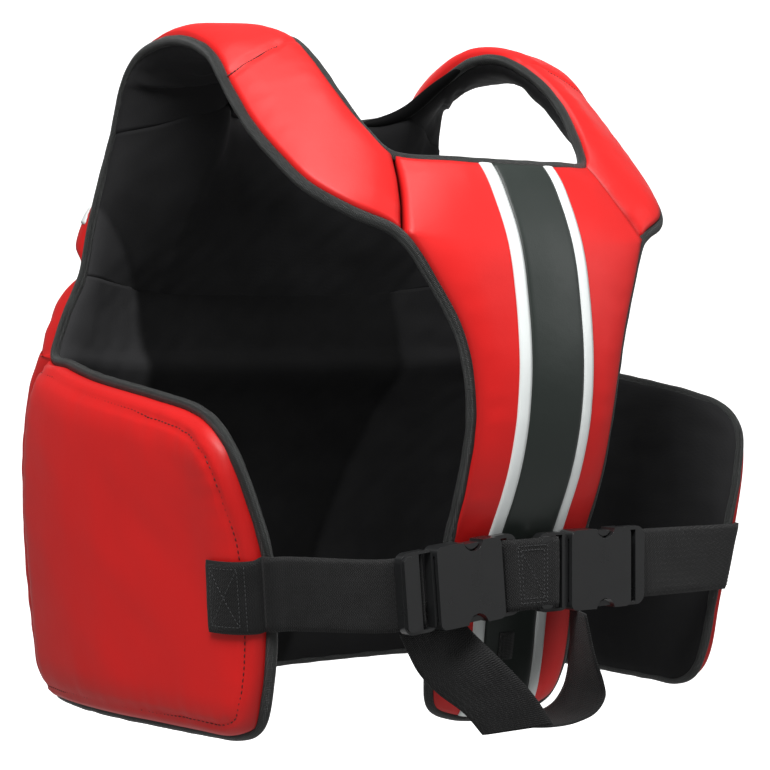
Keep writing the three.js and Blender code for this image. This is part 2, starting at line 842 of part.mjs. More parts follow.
function socketGeometry() {
  const b = BUCKLE;
  const length = b.bodyLength + b.endLength;
  const body = roundedOutline(-b.bodyLength - 1, 0, BUCKLE_HEIGHT, b.cornerRadius / 2);
  const end = roundedOutline(-length, -b.bodyLength / 2, BUCKLE_HEIGHT, b.cornerRadius);
  let solid = solidOf(plateGeometry(body, b.thickness, b.bodyBevel));
  solid = solid.add(solidOf(plateGeometry(end, b.barThickness, b.barBevel)));
  const through = around(0, 2 * b.thickness);
  const slotEnd = -b.bodyLength - 1;
  const slot = boxSolid([slotEnd - b.socketSlot, slotEnd], through, around(0, SLOT_HEIGHT));
  const mouthSpan = [b.backWall - b.bodyLength, 1];
  const mouthDepth = around(0, FORK.thickness + 2 * FORK.lift);
  const mouth = boxSolid(mouthSpan, mouthDepth, around(0, MOUTH_HEIGHT));
  solid = solid.subtract(slot).subtract(mouth);
  for (const side of [-1, 1]) {
    const notch = new THREE.CylinderGeometry(b.notchRadius, b.notchRadius, 2 * b.thickness, 12);
    notch.translate(-b.notchBack, 0, side * (BUCKLE_HEIGHT / 2 + b.notchOut));
    solid = solid.subtract(solidOf(notch));
  }
  return geometryOf(solid);
}

function plugGeometry() {
  const b = BUCKLE;
  const height = BUCKLE_HEIGHT - 2 * b.plugStep;
  const frame = roundedOutline(b.joint, b.frameLength, height, b.cornerRadius - 1);
  let solid = solidOf(plateGeometry(frame, b.barThickness, b.barBevel));
  const through = around(0, 2 * b.thickness);
  const slotSpan = [b.plugInnerBar, b.plugInnerBar + b.plugSlot];
  solid = solid.subtract(boxSolid(slotSpan, through, around(0, SLOT_HEIGHT)));
  const forkHalf = MOUTH_HEIGHT / 2 - FORK.play;
  const depth = around(0, FORK.thickness);
  const root = b.plugInnerBar - 1;
  solid = solid.add(boxSolid([-FORK.rootReach, root], depth, [-forkHalf, forkHalf]));
  solid = solid.add(boxSolid([-FORK.tongueReach, root], depth, around(0, FORK.tongueWidth)));
  for (const side of [-1, 1]) {
    const middle = side * (forkHalf - FORK.armWidth / 2);
    solid = solid.add(boxSolid([-FORK.armReach, root], depth, around(middle, FORK.armWidth)));
  }
  return geometryOf(solid);
}

// The belt's middle plane lies just behind the trim on the back panel
const spineMiddle = { point: (along) => spine.base(0.5, along) };
const trimHeight = TRIM_GAP + TRIM_THICKNESS;
const seats = around(BELT_DROP, BUCKLE_HEIGHT).map((drop) => {
  const v = shareAtHeight(spineMiddle, -drop);
  return spine.surface(0.5, v, spine.outer(0.5, v) + trimHeight).y;
});
const BELT_BACK = Math.max(...seats) + BUCKLE.thickness / 2 + BELT_CLEARANCE;

const BUCKLES = {
  left: { at: LEFT_BUCKLE_AT, tilt: THREE.MathUtils.degToRad(LEFT_BUCKLE_TILT) },
  right: { at: RIGHT_BUCKLE_AT, tilt: 0 },
};

function buckleMiddle({ at, tilt }) {
  return new THREE.Vector3(at, BELT_BACK, -BELT_DROP - Math.sin(tilt) * BUCKLE.bodyLength);
}

for (const [side, buckle] of Object.entries(BUCKLES)) {
  const socket = addPiece(`${side}_buckle_socket`, socketGeometry(), 'buckle');
  const plug = addPiece(`${side}_buckle_plug`, plugGeometry(), 'buckle');
  for (const piece of [socket, plug]) {
    piece.rotation.y = buckle.tilt;
    piece.position.copy(buckleMiddle(buckle));
  }
}

const socketLength = BUCKLE.bodyLength + BUCKLE.endLength;
const plugBar = BUCKLE.frameLength - BUCKLE.plugInnerBar - BUCKLE.plugSlot;
const socketBar = BUCKLE.endLength - BUCKLE.socketSlot - 1;

function fromLeftBar(point) {
  const { left } = BUCKLES;
  const turn = new THREE.Euler(0, left.tilt, 0);
  point.x += BUCKLE.frameLength;
  return point.applyEuler(turn).add(buckleMiddle(left));
}

// The right strap is drawn on the left and mirrored
function fromRightBar(point) {
  point.x += socketLength;
  return point.add(mirrored(buckleMiddle(BUCKLES.right)));
}

addPiece('left_strap', strapGeometry(fromLeftBar, plugBar), 'webbing');
addPiece('right_strap', mirrorGeometry(strapGeometry(fromRightBar, socketBar)), 'webbing');

// The belt over the back panel lies on both buckles' bars and dips into their slots
const leftBarInner = LEFT_BUCKLE_AT - socketLength + socketBar;
const rightBarInner = RIGHT_BUCKLE_AT + BUCKLE.frameLength - plugBar;
const leftLean = (Math.sin(BUCKLES.left.tilt) * WEBBING) / 2;
const BELT_PATH = [
  { across: leftBarInner + 0.92 * BAR_REACH, back: -0.2 * BAR_REACH, lean: leftLean },
  { across: leftBarInner + 0.6 * BAR_REACH, back: 0.7 * BAR_REACH, lean: leftLean },
  { across: leftBarInner - 0.2 * BAR_REACH, back: BAR_REACH, lean: leftLean },
  { across: leftBarInner - 2 * BAR_REACH, back: BAR_REACH, lean: leftLean },
  { across: (leftBarInner + rightBarInner) / 2, back: BAR_REACH, lean: 0 },
  { across: rightBarInner + 2 * BAR_REACH, back: BAR_REACH, lean: 0 },
  { across: rightBarInner + 0.2 * BAR_REACH, back: BAR_REACH, lean: 0 },
  { across: rightBarInner - 0.6 * BAR_REACH, back: 0.7 * BAR_REACH, lean: 0 },
  { across: rightBarInner - 0.92 * BAR_REACH, back: -0.2 * BAR_REACH, lean: 0 },
];

function beltEdge(side) {
  const height = (side * WEBBING) / 2 - BELT_DROP;
  return BELT_PATH.map(
    ({ across, back, lean }) => new THREE.Vector3(across + side * lean, BELT_BACK + back, height),
  );
}

const belt = ribbonGeometry(beltEdge(1), beltEdge(-1));
addPiece('centre_belt', belt, 'webbing');

// Free ends: the middle of the webbing from where each end leaves its buckle, in widths of the
// webbing, and which way its width points
const LEFT_TAIL = {
  start: [
    LEFT_BUCKLE_AT + 0.06 * WEBBING,
    BELT_BACK - BUCKLE.thickness / 2 - WEBBING_THICKNESS / 2 - SKIN_GAP,
    -BELT_DROP - 0.38 * WEBBING,
  ],
  rows: [
    { middle: [0, 0, 0], width: [0.77, 0.02, -0.64] },
    { middle: [-0.2, -0.03, -0.3], width: [0.79, 0, -0.6] },
    { middle: [-0.42, -0.03, -0.6], width: [0.78, -0.06, -0.6] },
    { middle: [-0.76, 0.12, -0.98], width: [0.76, -0.46, -0.44] },
    { middle: [-1.16, 0.28, -1.38], width: [0.79, -0.56, -0.25] },
    { middle: [-1.44, 0.36, -1.75], width: [0.8, -0.58, -0.14] },
  ],
};
const RIGHT_TAIL = {
  start: [
    RIGHT_BUCKLE_AT - 0.16 * WEBBING,
    BELT_BACK + 0.09 * WEBBING,
    -BELT_DROP - BUCKLE_HEIGHT / 2 - SKIN_GAP,
  ],
  rows: [
    { middle: [0, 0, 0], width: [0.5, 0.87, 0] },
    { middle: [-0.08, 0, -0.55], width: [0.38, 0.92, 0] },
    { middle: [-0.15, -0.01, -0.98], width: [0.2, 0.98, 0] },
    { middle: [-0.13, -0.02, -1.18], width: [0.1, 0.99, 0] },
    { middle: [0.03, -0.05, -1.38], width: [0.08, 1, 0] },
    { middle: [0.32, -0.12, -1.5], width: [0.1, 0.99, 0] },
    { middle: [0.7, -0.23, -1.54], width: [0.14, 0.99, 0] },
    { middle: [1.0, -0.42, -1.54], width: [0.16, 0.98, 0] },
  ],
};

function tailGeometry({ start, rows }) {
  const edge = (sign) =>
    rows.map(({ middle, width }) => {
      const point = new THREE.Vector3(...start);
      point.addScaledVector(new THREE.Vector3(...middle), WEBBING);
      const across = new THREE.Vector3(...width).normalize();
      return point.addScaledVector(across, (sign * WEBBING) / 2);
    });
  return ribbonGeometry(edge(1), edge(-1));
}

addPiece('left_strap_tail', tailGeometry(LEFT_TAIL), 'webbing');
addPiece('right_strap_tail', tailGeometry(RIGHT_TAIL), 'webbing');

export default vest;
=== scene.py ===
import math

import bmesh
import bpy
import numpy as np
from mathutils import Matrix, Vector


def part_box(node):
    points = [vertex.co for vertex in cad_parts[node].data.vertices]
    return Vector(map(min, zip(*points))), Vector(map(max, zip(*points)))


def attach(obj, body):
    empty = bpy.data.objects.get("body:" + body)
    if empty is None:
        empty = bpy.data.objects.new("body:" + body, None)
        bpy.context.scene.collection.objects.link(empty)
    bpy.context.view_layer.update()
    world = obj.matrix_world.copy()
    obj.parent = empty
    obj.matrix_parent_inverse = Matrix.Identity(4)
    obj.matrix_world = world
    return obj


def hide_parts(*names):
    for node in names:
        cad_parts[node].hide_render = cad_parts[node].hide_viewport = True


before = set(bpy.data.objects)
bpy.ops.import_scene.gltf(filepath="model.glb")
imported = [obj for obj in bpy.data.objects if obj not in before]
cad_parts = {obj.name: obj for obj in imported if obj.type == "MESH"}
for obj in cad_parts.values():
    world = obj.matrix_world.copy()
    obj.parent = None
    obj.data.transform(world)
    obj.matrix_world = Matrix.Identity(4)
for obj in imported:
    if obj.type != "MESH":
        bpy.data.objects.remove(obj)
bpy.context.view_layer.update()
MM = 0.001

# Sizes in millimetres, the same as the solids'. The wearer faces -Y and +X is the wearer's left.
HALF_WIDTH, BACK_DEPTH, DROP = 236, 200, 470
EDGE_THICKNESS = 5
ROLL = {"belly": 24, "chest": 34, "wing": 32, "shoulder": 26, "spine": 30}
SWELL = {"belly": (30, 7), "chest": (18, 6), "wing": (21, 5), "shoulder": (9, 8), "spine": (9, 6)}
BINDING_WIDTH, BINDING_THICKNESS = 8, 7
BAND_HALF, STRIPE_WIDTH = 23.5, 9.5
TRIM_THICKNESS, TRIM_GAP = 1, 0.6
WEBBING, WEBBING_THICKNESS, WEBBING_CLEARANCE = 50, 2, 0.9
BELT_DROP, WING_BELT_DROP, SEWN_LENGTH = 368, 370, 36
BELT_BACK = sum(corner.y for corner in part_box("right_buckle_socket")) / 2 / MM
BUCKLE_HEIGHT, SLOT_HEIGHT, MOUTH_HEIGHT = 57, 51.8, 45
BODY_LENGTH, SOCKET_LENGTH, FRAME_LENGTH = 57, 75, 29
INNER_BAR, PLUG_BAR, SOCKET_BAR, NOTCH_BACK = 2.5, 16, 9, 33
LEFT_BUCKLE_AT, RIGHT_BUCKLE_AT = 94, -28
LEFT_TILT = math.radians(5)

# Edge stations: across, back and up, as shares of the three sizes above
HEM = [
    (0.0, -0.75, -1.0), (0.424, -0.75, -1.0), (0.699, -0.71, -1.0), (0.847, -0.6, -1.0),
    (0.911, -0.375, -1.0), (0.932, -0.075, -1.0), (0.919, 0.2, -1.0), (0.898, 0.475, -1.0),
    (0.877, 0.64, -0.998),
]
FREE_EDGE = [
    (0.869, 0.73, -0.981), (0.873, 0.78, -0.936), (0.881, 0.82, -0.851),
    (0.915, 0.855, -0.74), (0.97, 0.845, -0.649), (1.008, 0.805, -0.585),
]
WING_TOP = [
    (1.013, 0.72, -0.551), (1.0, 0.585, -0.532), (1.0, 0.345, -0.515),
    (1.0, -0.05, -0.491), (0.975, -0.275, -0.474), (0.941, -0.455, -0.462),
]
ARMHOLE = [
    (0.869, -0.52, -0.398), (0.788, -0.56, -0.332), (0.75, -0.57, -0.255),
    (0.712, -0.57, -0.183), (0.669, -0.56, -0.102),
]
SHOULDER = [
    (0.653, -0.52, -0.026), (0.665, -0.41, 0.013), (0.686, -0.225, 0.03), (0.708, -0.01, 0.026),
    (0.729, 0.2, -0.006), (0.737, 0.33, -0.064), (0.737, 0.46, -0.121), (0.72, 0.59, -0.17),
    (0.691, 0.715, -0.213), (0.614, 0.84, -0.249), (0.483, 0.905, -0.281),
]
SPINE_SIDE = [
    (0.39, 0.96, -0.353), (0.314, 1.0, -0.436), (0.275, 0.995, -0.543), (0.271, 0.94, -0.643),
    (0.267, 0.86, -0.736), (0.263, 0.8, -0.851), (0.263, 0.75, -0.936), (0.233, 0.72, -0.983),
    (0.148, 0.71, -1.002), (0.0, 0.715, -1.009),
]
NECK = [
    (0.0, -0.5, -0.074), (0.212, -0.47, -0.068), (0.322, -0.4, -0.06), (0.373, -0.31, -0.045),
    (0.411, -0.15, -0.002), (0.424, 0.025, 0.03), (0.432, 0.19, 0.028), (0.453, 0.36, -0.009),
    (0.458, 0.49, -0.057), (0.436, 0.61, -0.115), (0.386, 0.71, -0.16), (0.212, 0.805, -0.168),
    (0.0, 0.84, -0.17),
]
NECK_FRONT, NECK_BACK = 3, 10
CREASE = [(0.945, -0.52, -0.511), (0.936, -0.58, -0.594), (0.915, -0.62, -0.698), (0.881, -0.625, -0.851)]
CHEST_SEAM_SIDE, CHEST_SEAM_MIDDLE = (0.508, -0.725, -0.353), (0.0, -0.77, -0.362)
FRONT_SEAM, BACK_SEAM = (0.517, -0.465, -0.077), (0.428, 0.815, -0.221)
SAMPLES = 12


def place(station):
    return np.array(station, float) * (HALF_WIDTH, BACK_DEPTH, DROP)


def mirrored(points):
    return np.asarray(points, float) * (-1, 1, 1)


def catmull(points, closed):
    """Centripetal Catmull-Rom points, SAMPLES to a span."""
    p = np.array(points, float)
    n = len(p)
    out = []
    for i in range(n if closed else n - 1):
        if closed:
            a, b, c, d = p[(i - 1) % n], p[i], p[(i + 1) % n], p[(i + 2) % n]
        else:
            b, c = p[i], p[i + 1]
            a = p[i - 1] if i else 2 * b - c
            d = p[i + 2] if i + 2 < n else 2 * c - b
        x, y, z = (np.linalg.norm(q - r) ** 0.5 for q, r in ((b, a), (c, b), (d, c)))
        t1 = ((b - a) / x - (c - a) / (x + y) + (c - b) / y) * y
        t2 = ((c - b) / y - (d - b) / (y + z) + (d - c) / z) * y
        t = np.arange(SAMPLES)[:, None] / SAMPLES
        out.append(b + t1 * t + (3 * (c - b) - 2 * t1 - t2) * t**2 + (2 * (b - c) + t1 + t2) * t**3)
    if not closed:
        out.append(p[-1:])
    return np.concatenate(out)


class Line:
    """Points on a line, read at any share of its length."""

    def __init__(self, points):
        self.points = np.array(points, float)
        steps = np.linalg.norm(np.diff(self.points, axis=0), axis=1)
        self.at = np.concatenate([[0], np.cumsum(steps)])
        self.length = self.at[-1]

    def point(self, share):
        want = np.clip(np.asarray(share, float), 0, 1) * self.length
        return np.stack([np.interp(want, self.at, self.points[:, k]) for k in range(3)], axis=-1)

    def reversed(self):
        return Line(self.points[::-1])

    def mirrored(self):
        return Line(mirrored(self.points))


def joined(*lines):
    return Line(np.concatenate([line.points[1 if i else 0:] for i, line in enumerate(lines)]))


def across_middle(half):
    return Line(np.concatenate([mirrored(half.points), half.points[::-1][1:]]))


def smooth_loop(half):
    return catmull(np.concatenate([half, mirrored(half[1:-1])[::-1]]), True)


outer_stations = np.array([place(s) for s in HEM + FREE_EDGE + WING_TOP + ARMHOLE + SHOULDER + SPINE_SIDE])
neck_stations = np.array([place(s) for s in NECK])
outer_loop = smooth_loop(outer_stations)
neck_loop = smooth_loop(neck_stations)
CREASE_FOOT = 3
WING_HEEL = len(HEM)
WING_TIP = len(HEM) + len(FREE_EDGE) - 1
CREASE_HEAD = WING_TIP + len(WING_TOP)
CHEST_SIDE = CREASE_HEAD + 2
SHOULDER_FRONT = CREASE_HEAD + len(ARMHOLE)
SHOULDER_BACK = SHOULDER_FRONT + len(SHOULDER)
SPINE_HEEL = len(outer_stations) - 3
SPINE_FOOT = len(outer_stations) - 1


def outer_edge(start, end):
    return Line(outer_loop[start * SAMPLES:end * SAMPLES + 1])


def neck_edge(start, end):
    return Line(neck_loop[start * SAMPLES:end * SAMPLES + 1])


def waves(p, size, seed, count=14):
    """Smooth seeded noise from -1 to 1 or so, with bumps about size across."""
    rng = np.random.default_rng(seed)
    total = np.zeros(p.shape[:-1])
    for _ in range(count):
        way = rng.normal(size=p.shape[-1])
        way *= 2 * math.pi / (size * rng.uniform(0.7, 1.5)) / np.linalg.norm(way)
        total += np.cos(p @ way + rng.uniform(0, 2 * math.pi))
    return total / math.sqrt(count)


def nearest(p, line):
    """The distance from each point to a line, and how far along the line that is."""
    flat = p.reshape(-1, 3)
    share = np.linspace(0, 1, max(int(line.length / 3), 8))
    marks = line.point(share)
    best = np.empty(len(flat))
    at = np.empty(len(flat))
    for i in range(0, len(flat), 4000):
        part = flat[i:i + 4000]
        gap = ((part[:, None, :] - marks[None]) ** 2).sum(-1)
        k = gap.argmin(1)
        best[i:i + 4000] = gap[np.arange(len(part)), k]
        at[i:i + 4000] = share[k] * line.length
    return np.sqrt(best).reshape(p.shape[:-1]), at.reshape(p.shape[:-1])


EASE_STEPS = np.linspace(-0.06, 0.06, 7)
STITCH_IN = 10.5  # from the middle of the binding to the row of stitches beside it
SLACK = {"belly": 0.4, "chest": 0.4, "wing": 0.6, "shoulder": 0.3, "spine": 0.35}
# Painted light on the lining, lighter towards the sides where light reaches it: its share on each piece, and for the
# belly and chest the share across where that starts, and its change upwards
LINING_PAINTED_LIGHT = {"belly": 0.04, "chest": 0.42, "wing": 0.45, "shoulder": 0.5, "spine": 0.3}
LINING_FOLD = {"belly": (0.556, 0.284), "chest": (0.835, 0.34)}


class Patch:
    """A smooth surface between four edge lines: u along bottom and top, v along left and right."""

    def __init__(self, name, bottom, top, left, right, seams, fade=1, seed=1, cross=None):
        self.name, self.fade, self.seed, self.cross = name, fade, seed, cross
        self.bottom, self.top, self.left, self.right = bottom, top, left, right
        self.sides = {"bottom": bottom, "top": top, "left": left, "right": right}
        self.seams = seams
        self.swell, self.roll = SWELL[name], ROLL[name]
        self.corners = ((), ())  # shares across and along where two lines of one side meet
        self.bound = [line for side, line in self.sides.items() if side not in seams]
        self.wide = (bottom.length + top.length) / 2
        self.tall = (left.length + right.length) / 2

    def base(self, u, v):
        """The plain surface, with the corners in the sides of the back panel eased away from its edges."""
        plain = self.blend(u, v)
        if self.name != "spine":
            return plain
        u, v = np.broadcast_arrays(np.asarray(u, float), np.asarray(v, float))
        eased = np.mean([self.blend(u, np.clip(v + step, 0, 1)) for step in EASE_STEPS], axis=0)
        across, along = np.minimum(u, 1 - u) * self.wide, np.minimum(v, 1 - v) * self.tall
        weight = (1 - np.exp(-across / 18)) * (1 - np.exp(-along / 30))
        return plain + (eased - plain) * weight[..., None]

    def blend(self, u, v):
        u, v = np.broadcast_arrays(np.asarray(u, float), np.asarray(v, float))
        uu = u[..., None]
        point = self.left.point(v) * (1 - uu) + self.right.point(v) * uu
        low = ((1 - v) ** self.fade)[..., None]
        for line, weight in ((self.bottom, low), (self.top, 1 - low)):
            bow = line.point(u) - line.points[0] * (1 - uu) - line.points[-1] * uu
            point = point + bow * weight
        return point

    def normal(self, u, v):
        step = 0.02
        u, v = np.broadcast_arrays(np.asarray(u, float), np.asarray(v, float))
        along = self.base(np.minimum(u + step, 1), v) - self.base(np.maximum(u - step, 0), v)
        up = self.base(u, np.minimum(v + step, 1)) - self.base(u, np.maximum(v - step, 0))
        n = np.cross(along, up)
        return n / np.linalg.norm(n, axis=-1, keepdims=True)

    def fullness(self, u, v, seams=True):
        """The share of its swell that the pad has there, with or without the hollows at its seams."""
        def rounded(distance):
            left = 1 - np.clip(distance / self.roll, 0, 1)
            return np.sqrt(1 - left * left)

        if seams:
            sides = rounded(np.minimum(u, 1 - u) * self.wide) * rounded(np.minimum(v, 1 - v) * self.tall)
        else:
            sides = rounded(self.bound_edge(self.base(u, v)))
        full = sides * (0.72 + 0.28 * 16 * u * (1 - u) * v * (1 - v))
        if self.name == "spine":
            away = (self.base(u, v)[..., 2] + BELT_DROP) / 62
            full = full * (1 - 0.9 * np.exp(-away * away))
        return full

    def detail(self, u, v, p):
        """Seams, puckers and slack in the cover, in millimetres above the plain pad."""
        slack = SLACK[self.name]
        height = slack * (waves(p, 95, self.seed) + 0.3 * waves(p, 38, self.seed + 1))
        edge = np.full(p.shape[:-1], 1e9)
        for side, line in self.sides.items():
            gap, at = nearest(p, line)
            ripple = waves(at[..., None], 17, self.seed + 7, 8)
            if side in self.seams:
                near = np.exp(-gap / 13)
                height += near * (1.2 * slack * ripple - 1.2) * (1 - np.exp(-gap / 2.5))
            else:
                past = gap - STITCH_IN
                edge = np.minimum(edge, gap)
                pull = np.where(past > 0, np.exp(-past / 12), np.exp(past / 1.5))
                height += 0.5 * slack * ripple * pull
        if self.name == "wing":
            # The cover rises a little between the binding and its stitches, and dips at the stitches
            height += 0.7 * np.exp(-(((edge - 6.5) / 2.6) ** 2)) - 1.5 * np.exp(-(((edge - STITCH_IN) / 1.9) ** 2))
        if self.name == "chest":
            # The bar of padding below the white strip, which shows past the binding
            near = np.exp(-(((edge - 9) / 12) ** 2))
            height += 11 * np.exp(-(((p[..., 2] + 122) / 21) ** 6)) * near
        if self.cross is not None:
            gap, at = nearest(p, self.cross)
            ripple = waves(at[..., None], 19, self.seed + 9, 8)
            height += -2.2 * np.exp(-((gap / 2.2) ** 2)) + np.exp(-gap / 10) * 0.5 * ripple
        fade = 1 - np.exp(-np.minimum(edge, 40) / 4)
        return height * fade

    def bound_edge(self, p):
        """The distance to the nearest bound edge, leaving out seams."""
        return np.min([nearest(p, line)[0] for line in self.bound], axis=0)

    def outer(self, u, v, detailed=True):
        p = self.base(u, v)
        height = EDGE_THICKNESS / 2 + self.swell[0] * self.fullness(u, v)
        if self.name == "shoulder":
            rim = 1 - np.exp(-np.minimum(u, 1 - u) * self.wide / 6)
            height = height + 4 * np.exp(-(((v - 0.25) / 0.14) ** 2)) * rim
        return height + (self.detail(u, v, p) if detailed else 0)

    def inner(self, u, v, seams=True):
        # The back of the pad comes up into the binding, so that the lining covers it there
        tuck = 1.5 * np.exp(-np.maximum(self.bound_edge(self.base(u, v)) - 2, 0) / 3)
        return tuck - EDGE_THICKNESS / 2 - self.swell[1] * self.fullness(u, v, seams)

    def surface(self, u, v, height):
        u, v = np.broadcast_arrays(np.asarray(u, float), np.asarray(v, float))
        return self.base(u, v) + self.normal(u, v) * np.asarray(height)[..., None]

    def shares(self, spacing, lengthwise, inset=2.6):
        names = ("bottom", "top") if lengthwise else ("left", "right")
        length = self.tall if lengthwise else self.wide
        low, high = (0.0 if name in self.seams else inset for name in names)
        values = np.linspace(low / length, 1 - high / length, max(int(length / spacing), 8))
        for corner in self.corners[lengthwise]:
            values[np.abs(values - corner).argmin()] = corner
        return values


def smooth_line(stations):
    return Line(catmull(stations, False))


crease = smooth_line([outer_stations[CREASE_FOOT], *[place(s) for s in CREASE[::-1]], outer_stations[CREASE_HEAD]])
chest_seam = smooth_line([
    outer_stations[CHEST_SIDE], place(CHEST_SEAM_SIDE), place(CHEST_SEAM_MIDDLE),
    mirrored(place(CHEST_SEAM_SIDE)), mirrored(outer_stations[CHEST_SIDE]),
])
front_seam = smooth_line([neck_stations[NECK_FRONT], place(FRONT_SEAM), outer_stations[SHOULDER_FRONT]])
back_seam = smooth_line([neck_stations[NECK_BACK], place(BACK_SEAM), outer_stations[SHOULDER_BACK]])

belly_side = joined(crease, outer_edge(CREASE_HEAD, CHEST_SIDE))
belly = Patch(
    "belly", across_middle(outer_edge(0, CREASE_FOOT).reversed()), chest_seam.reversed(),
    belly_side.mirrored(), belly_side, seams=("top", "left", "right"), seed=11,
)
chest_side = outer_edge(CHEST_SIDE, SHOULDER_FRONT)
chest = Patch(
    "chest", chest_seam.reversed(),
    across_middle(joined(front_seam.reversed(), neck_edge(0, NECK_FRONT).reversed())),
    chest_side.mirrored(), chest_side, seams=("bottom", "top"), seed=21,
)
neck_front = neck_edge(0, NECK_FRONT)
chest.bound += [neck_front, neck_front.mirrored()]
side_edge = outer_edge(CREASE_HEAD, CHEST_SIDE)
belly.bound += [side_edge, side_edge.mirrored()]
front_share = front_seam.length / chest.top.length
chest.corners = ((front_share, 1 - front_share), ())
wing = Patch(
    "wing", outer_edge(CREASE_FOOT, WING_HEEL), outer_edge(WING_TIP, CREASE_HEAD).reversed(),
    crease, outer_edge(WING_HEEL, WING_TIP), seams=("left",), seed=31,
)
FOLD_AT = 0.1
CROSS_INNER, CROSS_OUTER = 0.5, 0.54
shoulder_inner = neck_edge(NECK_FRONT, NECK_BACK)
shoulder_outer = outer_edge(SHOULDER_FRONT, SHOULDER_BACK)
cross_seam = smooth_line([shoulder_inner.point(CROSS_INNER), shoulder_outer.point(CROSS_OUTER)])
shoulder = Patch(
    "shoulder", front_seam, back_seam, shoulder_inner, shoulder_outer,
    seams=("bottom", "top"), seed=41, cross=cross_seam,
)
spine_side = joined(back_seam, outer_edge(SHOULDER_BACK, SPINE_HEEL))
spine = Patch(
    "spine", across_middle(neck_edge(NECK_BACK, len(NECK) - 1)),
    across_middle(outer_edge(SPINE_HEEL, SPINE_FOOT)),
    spine_side.mirrored(), spine_side, seams=(), fade=3, seed=51,
)

spine.corners = ((), (back_seam.length / spine_side.length,))

# Materials


def node_material(name, color, roughness, **sockets):
    m = bpy.data.materials.new(name)
    m.use_nodes = True
    nt = m.node_tree
    shader = nt.nodes["Principled BSDF"]
    shader.inputs["Base Color"].default_value = (*color, 1)
    shader.inputs["Roughness"].default_value = roughness
    for key, value in sockets.items():
        shader.inputs[key.replace("_", " ")].default_value = value
    return m, nt, shader


def add(nt, kind, **values):
    node = nt.nodes.new(kind)
    for key, value in values.items():
        if key in node.inputs.keys():
            node.inputs[key].default_value = value
        else:
            setattr(node, key, value)
    return node


def maths(nt, operation, a, b=None):
    node = nt.nodes.new("ShaderNodeMath")
    node.operation = operation
    for i, value in enumerate((a, b)):
        if value is None:
            continue
        if isinstance(value, (int, float)):
            node.inputs[i].default_value = value
        else:
            nt.links.new(value, node.inputs[i])
    return node.outputs[0]


def noise_texture(nt, scale, detail=3, coords="Object", roughness=0.55):
    place_node = nt.nodes.new("ShaderNodeTexCoord")
    n = add(nt, "ShaderNodeTexNoise", Scale=scale, Detail=detail, Roughness=roughness)
    nt.links.new(place_node.outputs[coords], n.inputs["Vector"])
    return n.outputs["Fac"]


def ramp(nt, value, stops):
    node = nt.nodes.new("ShaderNodeValToRGB")
    elements = node.color_ramp.elements
    for i, (at, color) in enumerate(stops):
        e = elements[i] if i < 2 else elements.new(at)
        e.position = at
        e.color = (*color, 1)
    nt.links.new(value, node.inputs[0])
    return node.outputs[0]


def bump(nt, shader, height, distance, strength=1.0):
    node = add(nt, "ShaderNodeBump", Strength=strength, Distance=distance)
    nt.links.new(height, node.inputs["Height"])
    old = shader.inputs["Normal"]
    if old.is_linked:
        nt.links.new(old.links[0].from_socket, node.inputs["Normal"])
    nt.links.new(node.outputs[0], shader.inputs["Normal"])


def leather(name, color, dark, roughness, shine):
    m, nt, shader = node_material(name, color, roughness, Specular_IOR_Level=shine)
    # Painted shade: the "edge" attribute darkens the colour towards dark along seams, binding and rims, and the noise
    # adds random tone
    painted_shade = nt.nodes.new("ShaderNodeAttribute")
    painted_shade.attribute_name = "edge"
    tint = noise_texture(nt, 9, 4)
    mix = add(nt, "ShaderNodeMix", data_type="RGBA")
    mix.inputs[6].default_value = (*dark, 1)
    mix.inputs[7].default_value = (*color, 1)
    amount = maths(nt, "MULTIPLY", painted_shade.outputs["Fac"], maths(nt, "ADD", maths(nt, "MULTIPLY", tint, 0.5), 0.75))
    nt.links.new(maths(nt, "MINIMUM", amount, 1.0), mix.inputs[0])
    nt.links.new(mix.outputs[2], shader.inputs["Base Color"])
    gloss = noise_texture(nt, 26, 5)
    nt.links.new(
        maths(nt, "ADD", maths(nt, "MULTIPLY", gloss, 0.16), roughness - 0.08), shader.inputs["Roughness"]
    )
    # Fine pebbled grain, and larger soft unevenness
    coords = nt.nodes.new("ShaderNodeTexCoord")
    grain = add(nt, "ShaderNodeTexVoronoi", Scale=620, Randomness=1.0)
    grain.feature = "DISTANCE_TO_EDGE"
    nt.links.new(coords.outputs["Object"], grain.inputs["Vector"])
    bump(nt, shader, maths(nt, "MINIMUM", grain.outputs["Distance"], 0.25), 0.00012, 0.55)
    bump(nt, shader, noise_texture(nt, 160, 3), 0.0004, 0.25)
    return m


def cloth(name, color, light, side, roughness, size, depth):
    m, nt, shader = node_material(name, color, roughness, Sheen_Weight=0.05, Sheen_Roughness=0.4)
    shader.inputs["Specular IOR Level"].default_value = 0.08
    shader.inputs["Sheen Tint"].default_value = (0.5, 0.5, 0.52, 1)
    fluff = noise_texture(nt, 14, 6, roughness=0.55)
    # Painted light: the "edge" attribute mixes in the lighter side colour where light reaches the lining
    mix = add(nt, "ShaderNodeMix", data_type="RGBA")
    mix.inputs[7].default_value = (*side, 1)
    nt.links.new(ramp(nt, fluff, [(0.35, color), (0.75, light)]), mix.inputs[6])
    lit = nt.nodes.new("ShaderNodeAttribute")
    lit.attribute_name = "edge"
    nt.links.new(lit.outputs["Fac"], mix.inputs[0])
    nt.links.new(mix.outputs[2], shader.inputs["Base Color"])
    coords = nt.nodes.new("ShaderNodeTexCoord")
    knit = add(nt, "ShaderNodeTexVoronoi", Scale=size, Randomness=0.35)
    nt.links.new(coords.outputs["Object"], knit.inputs["Vector"])
    bump(nt, shader, knit.outputs["Distance"], depth, 0.6)
    bump(nt, shader, noise_texture(nt, 120, 4), 0.0004, 0.2)
    return m


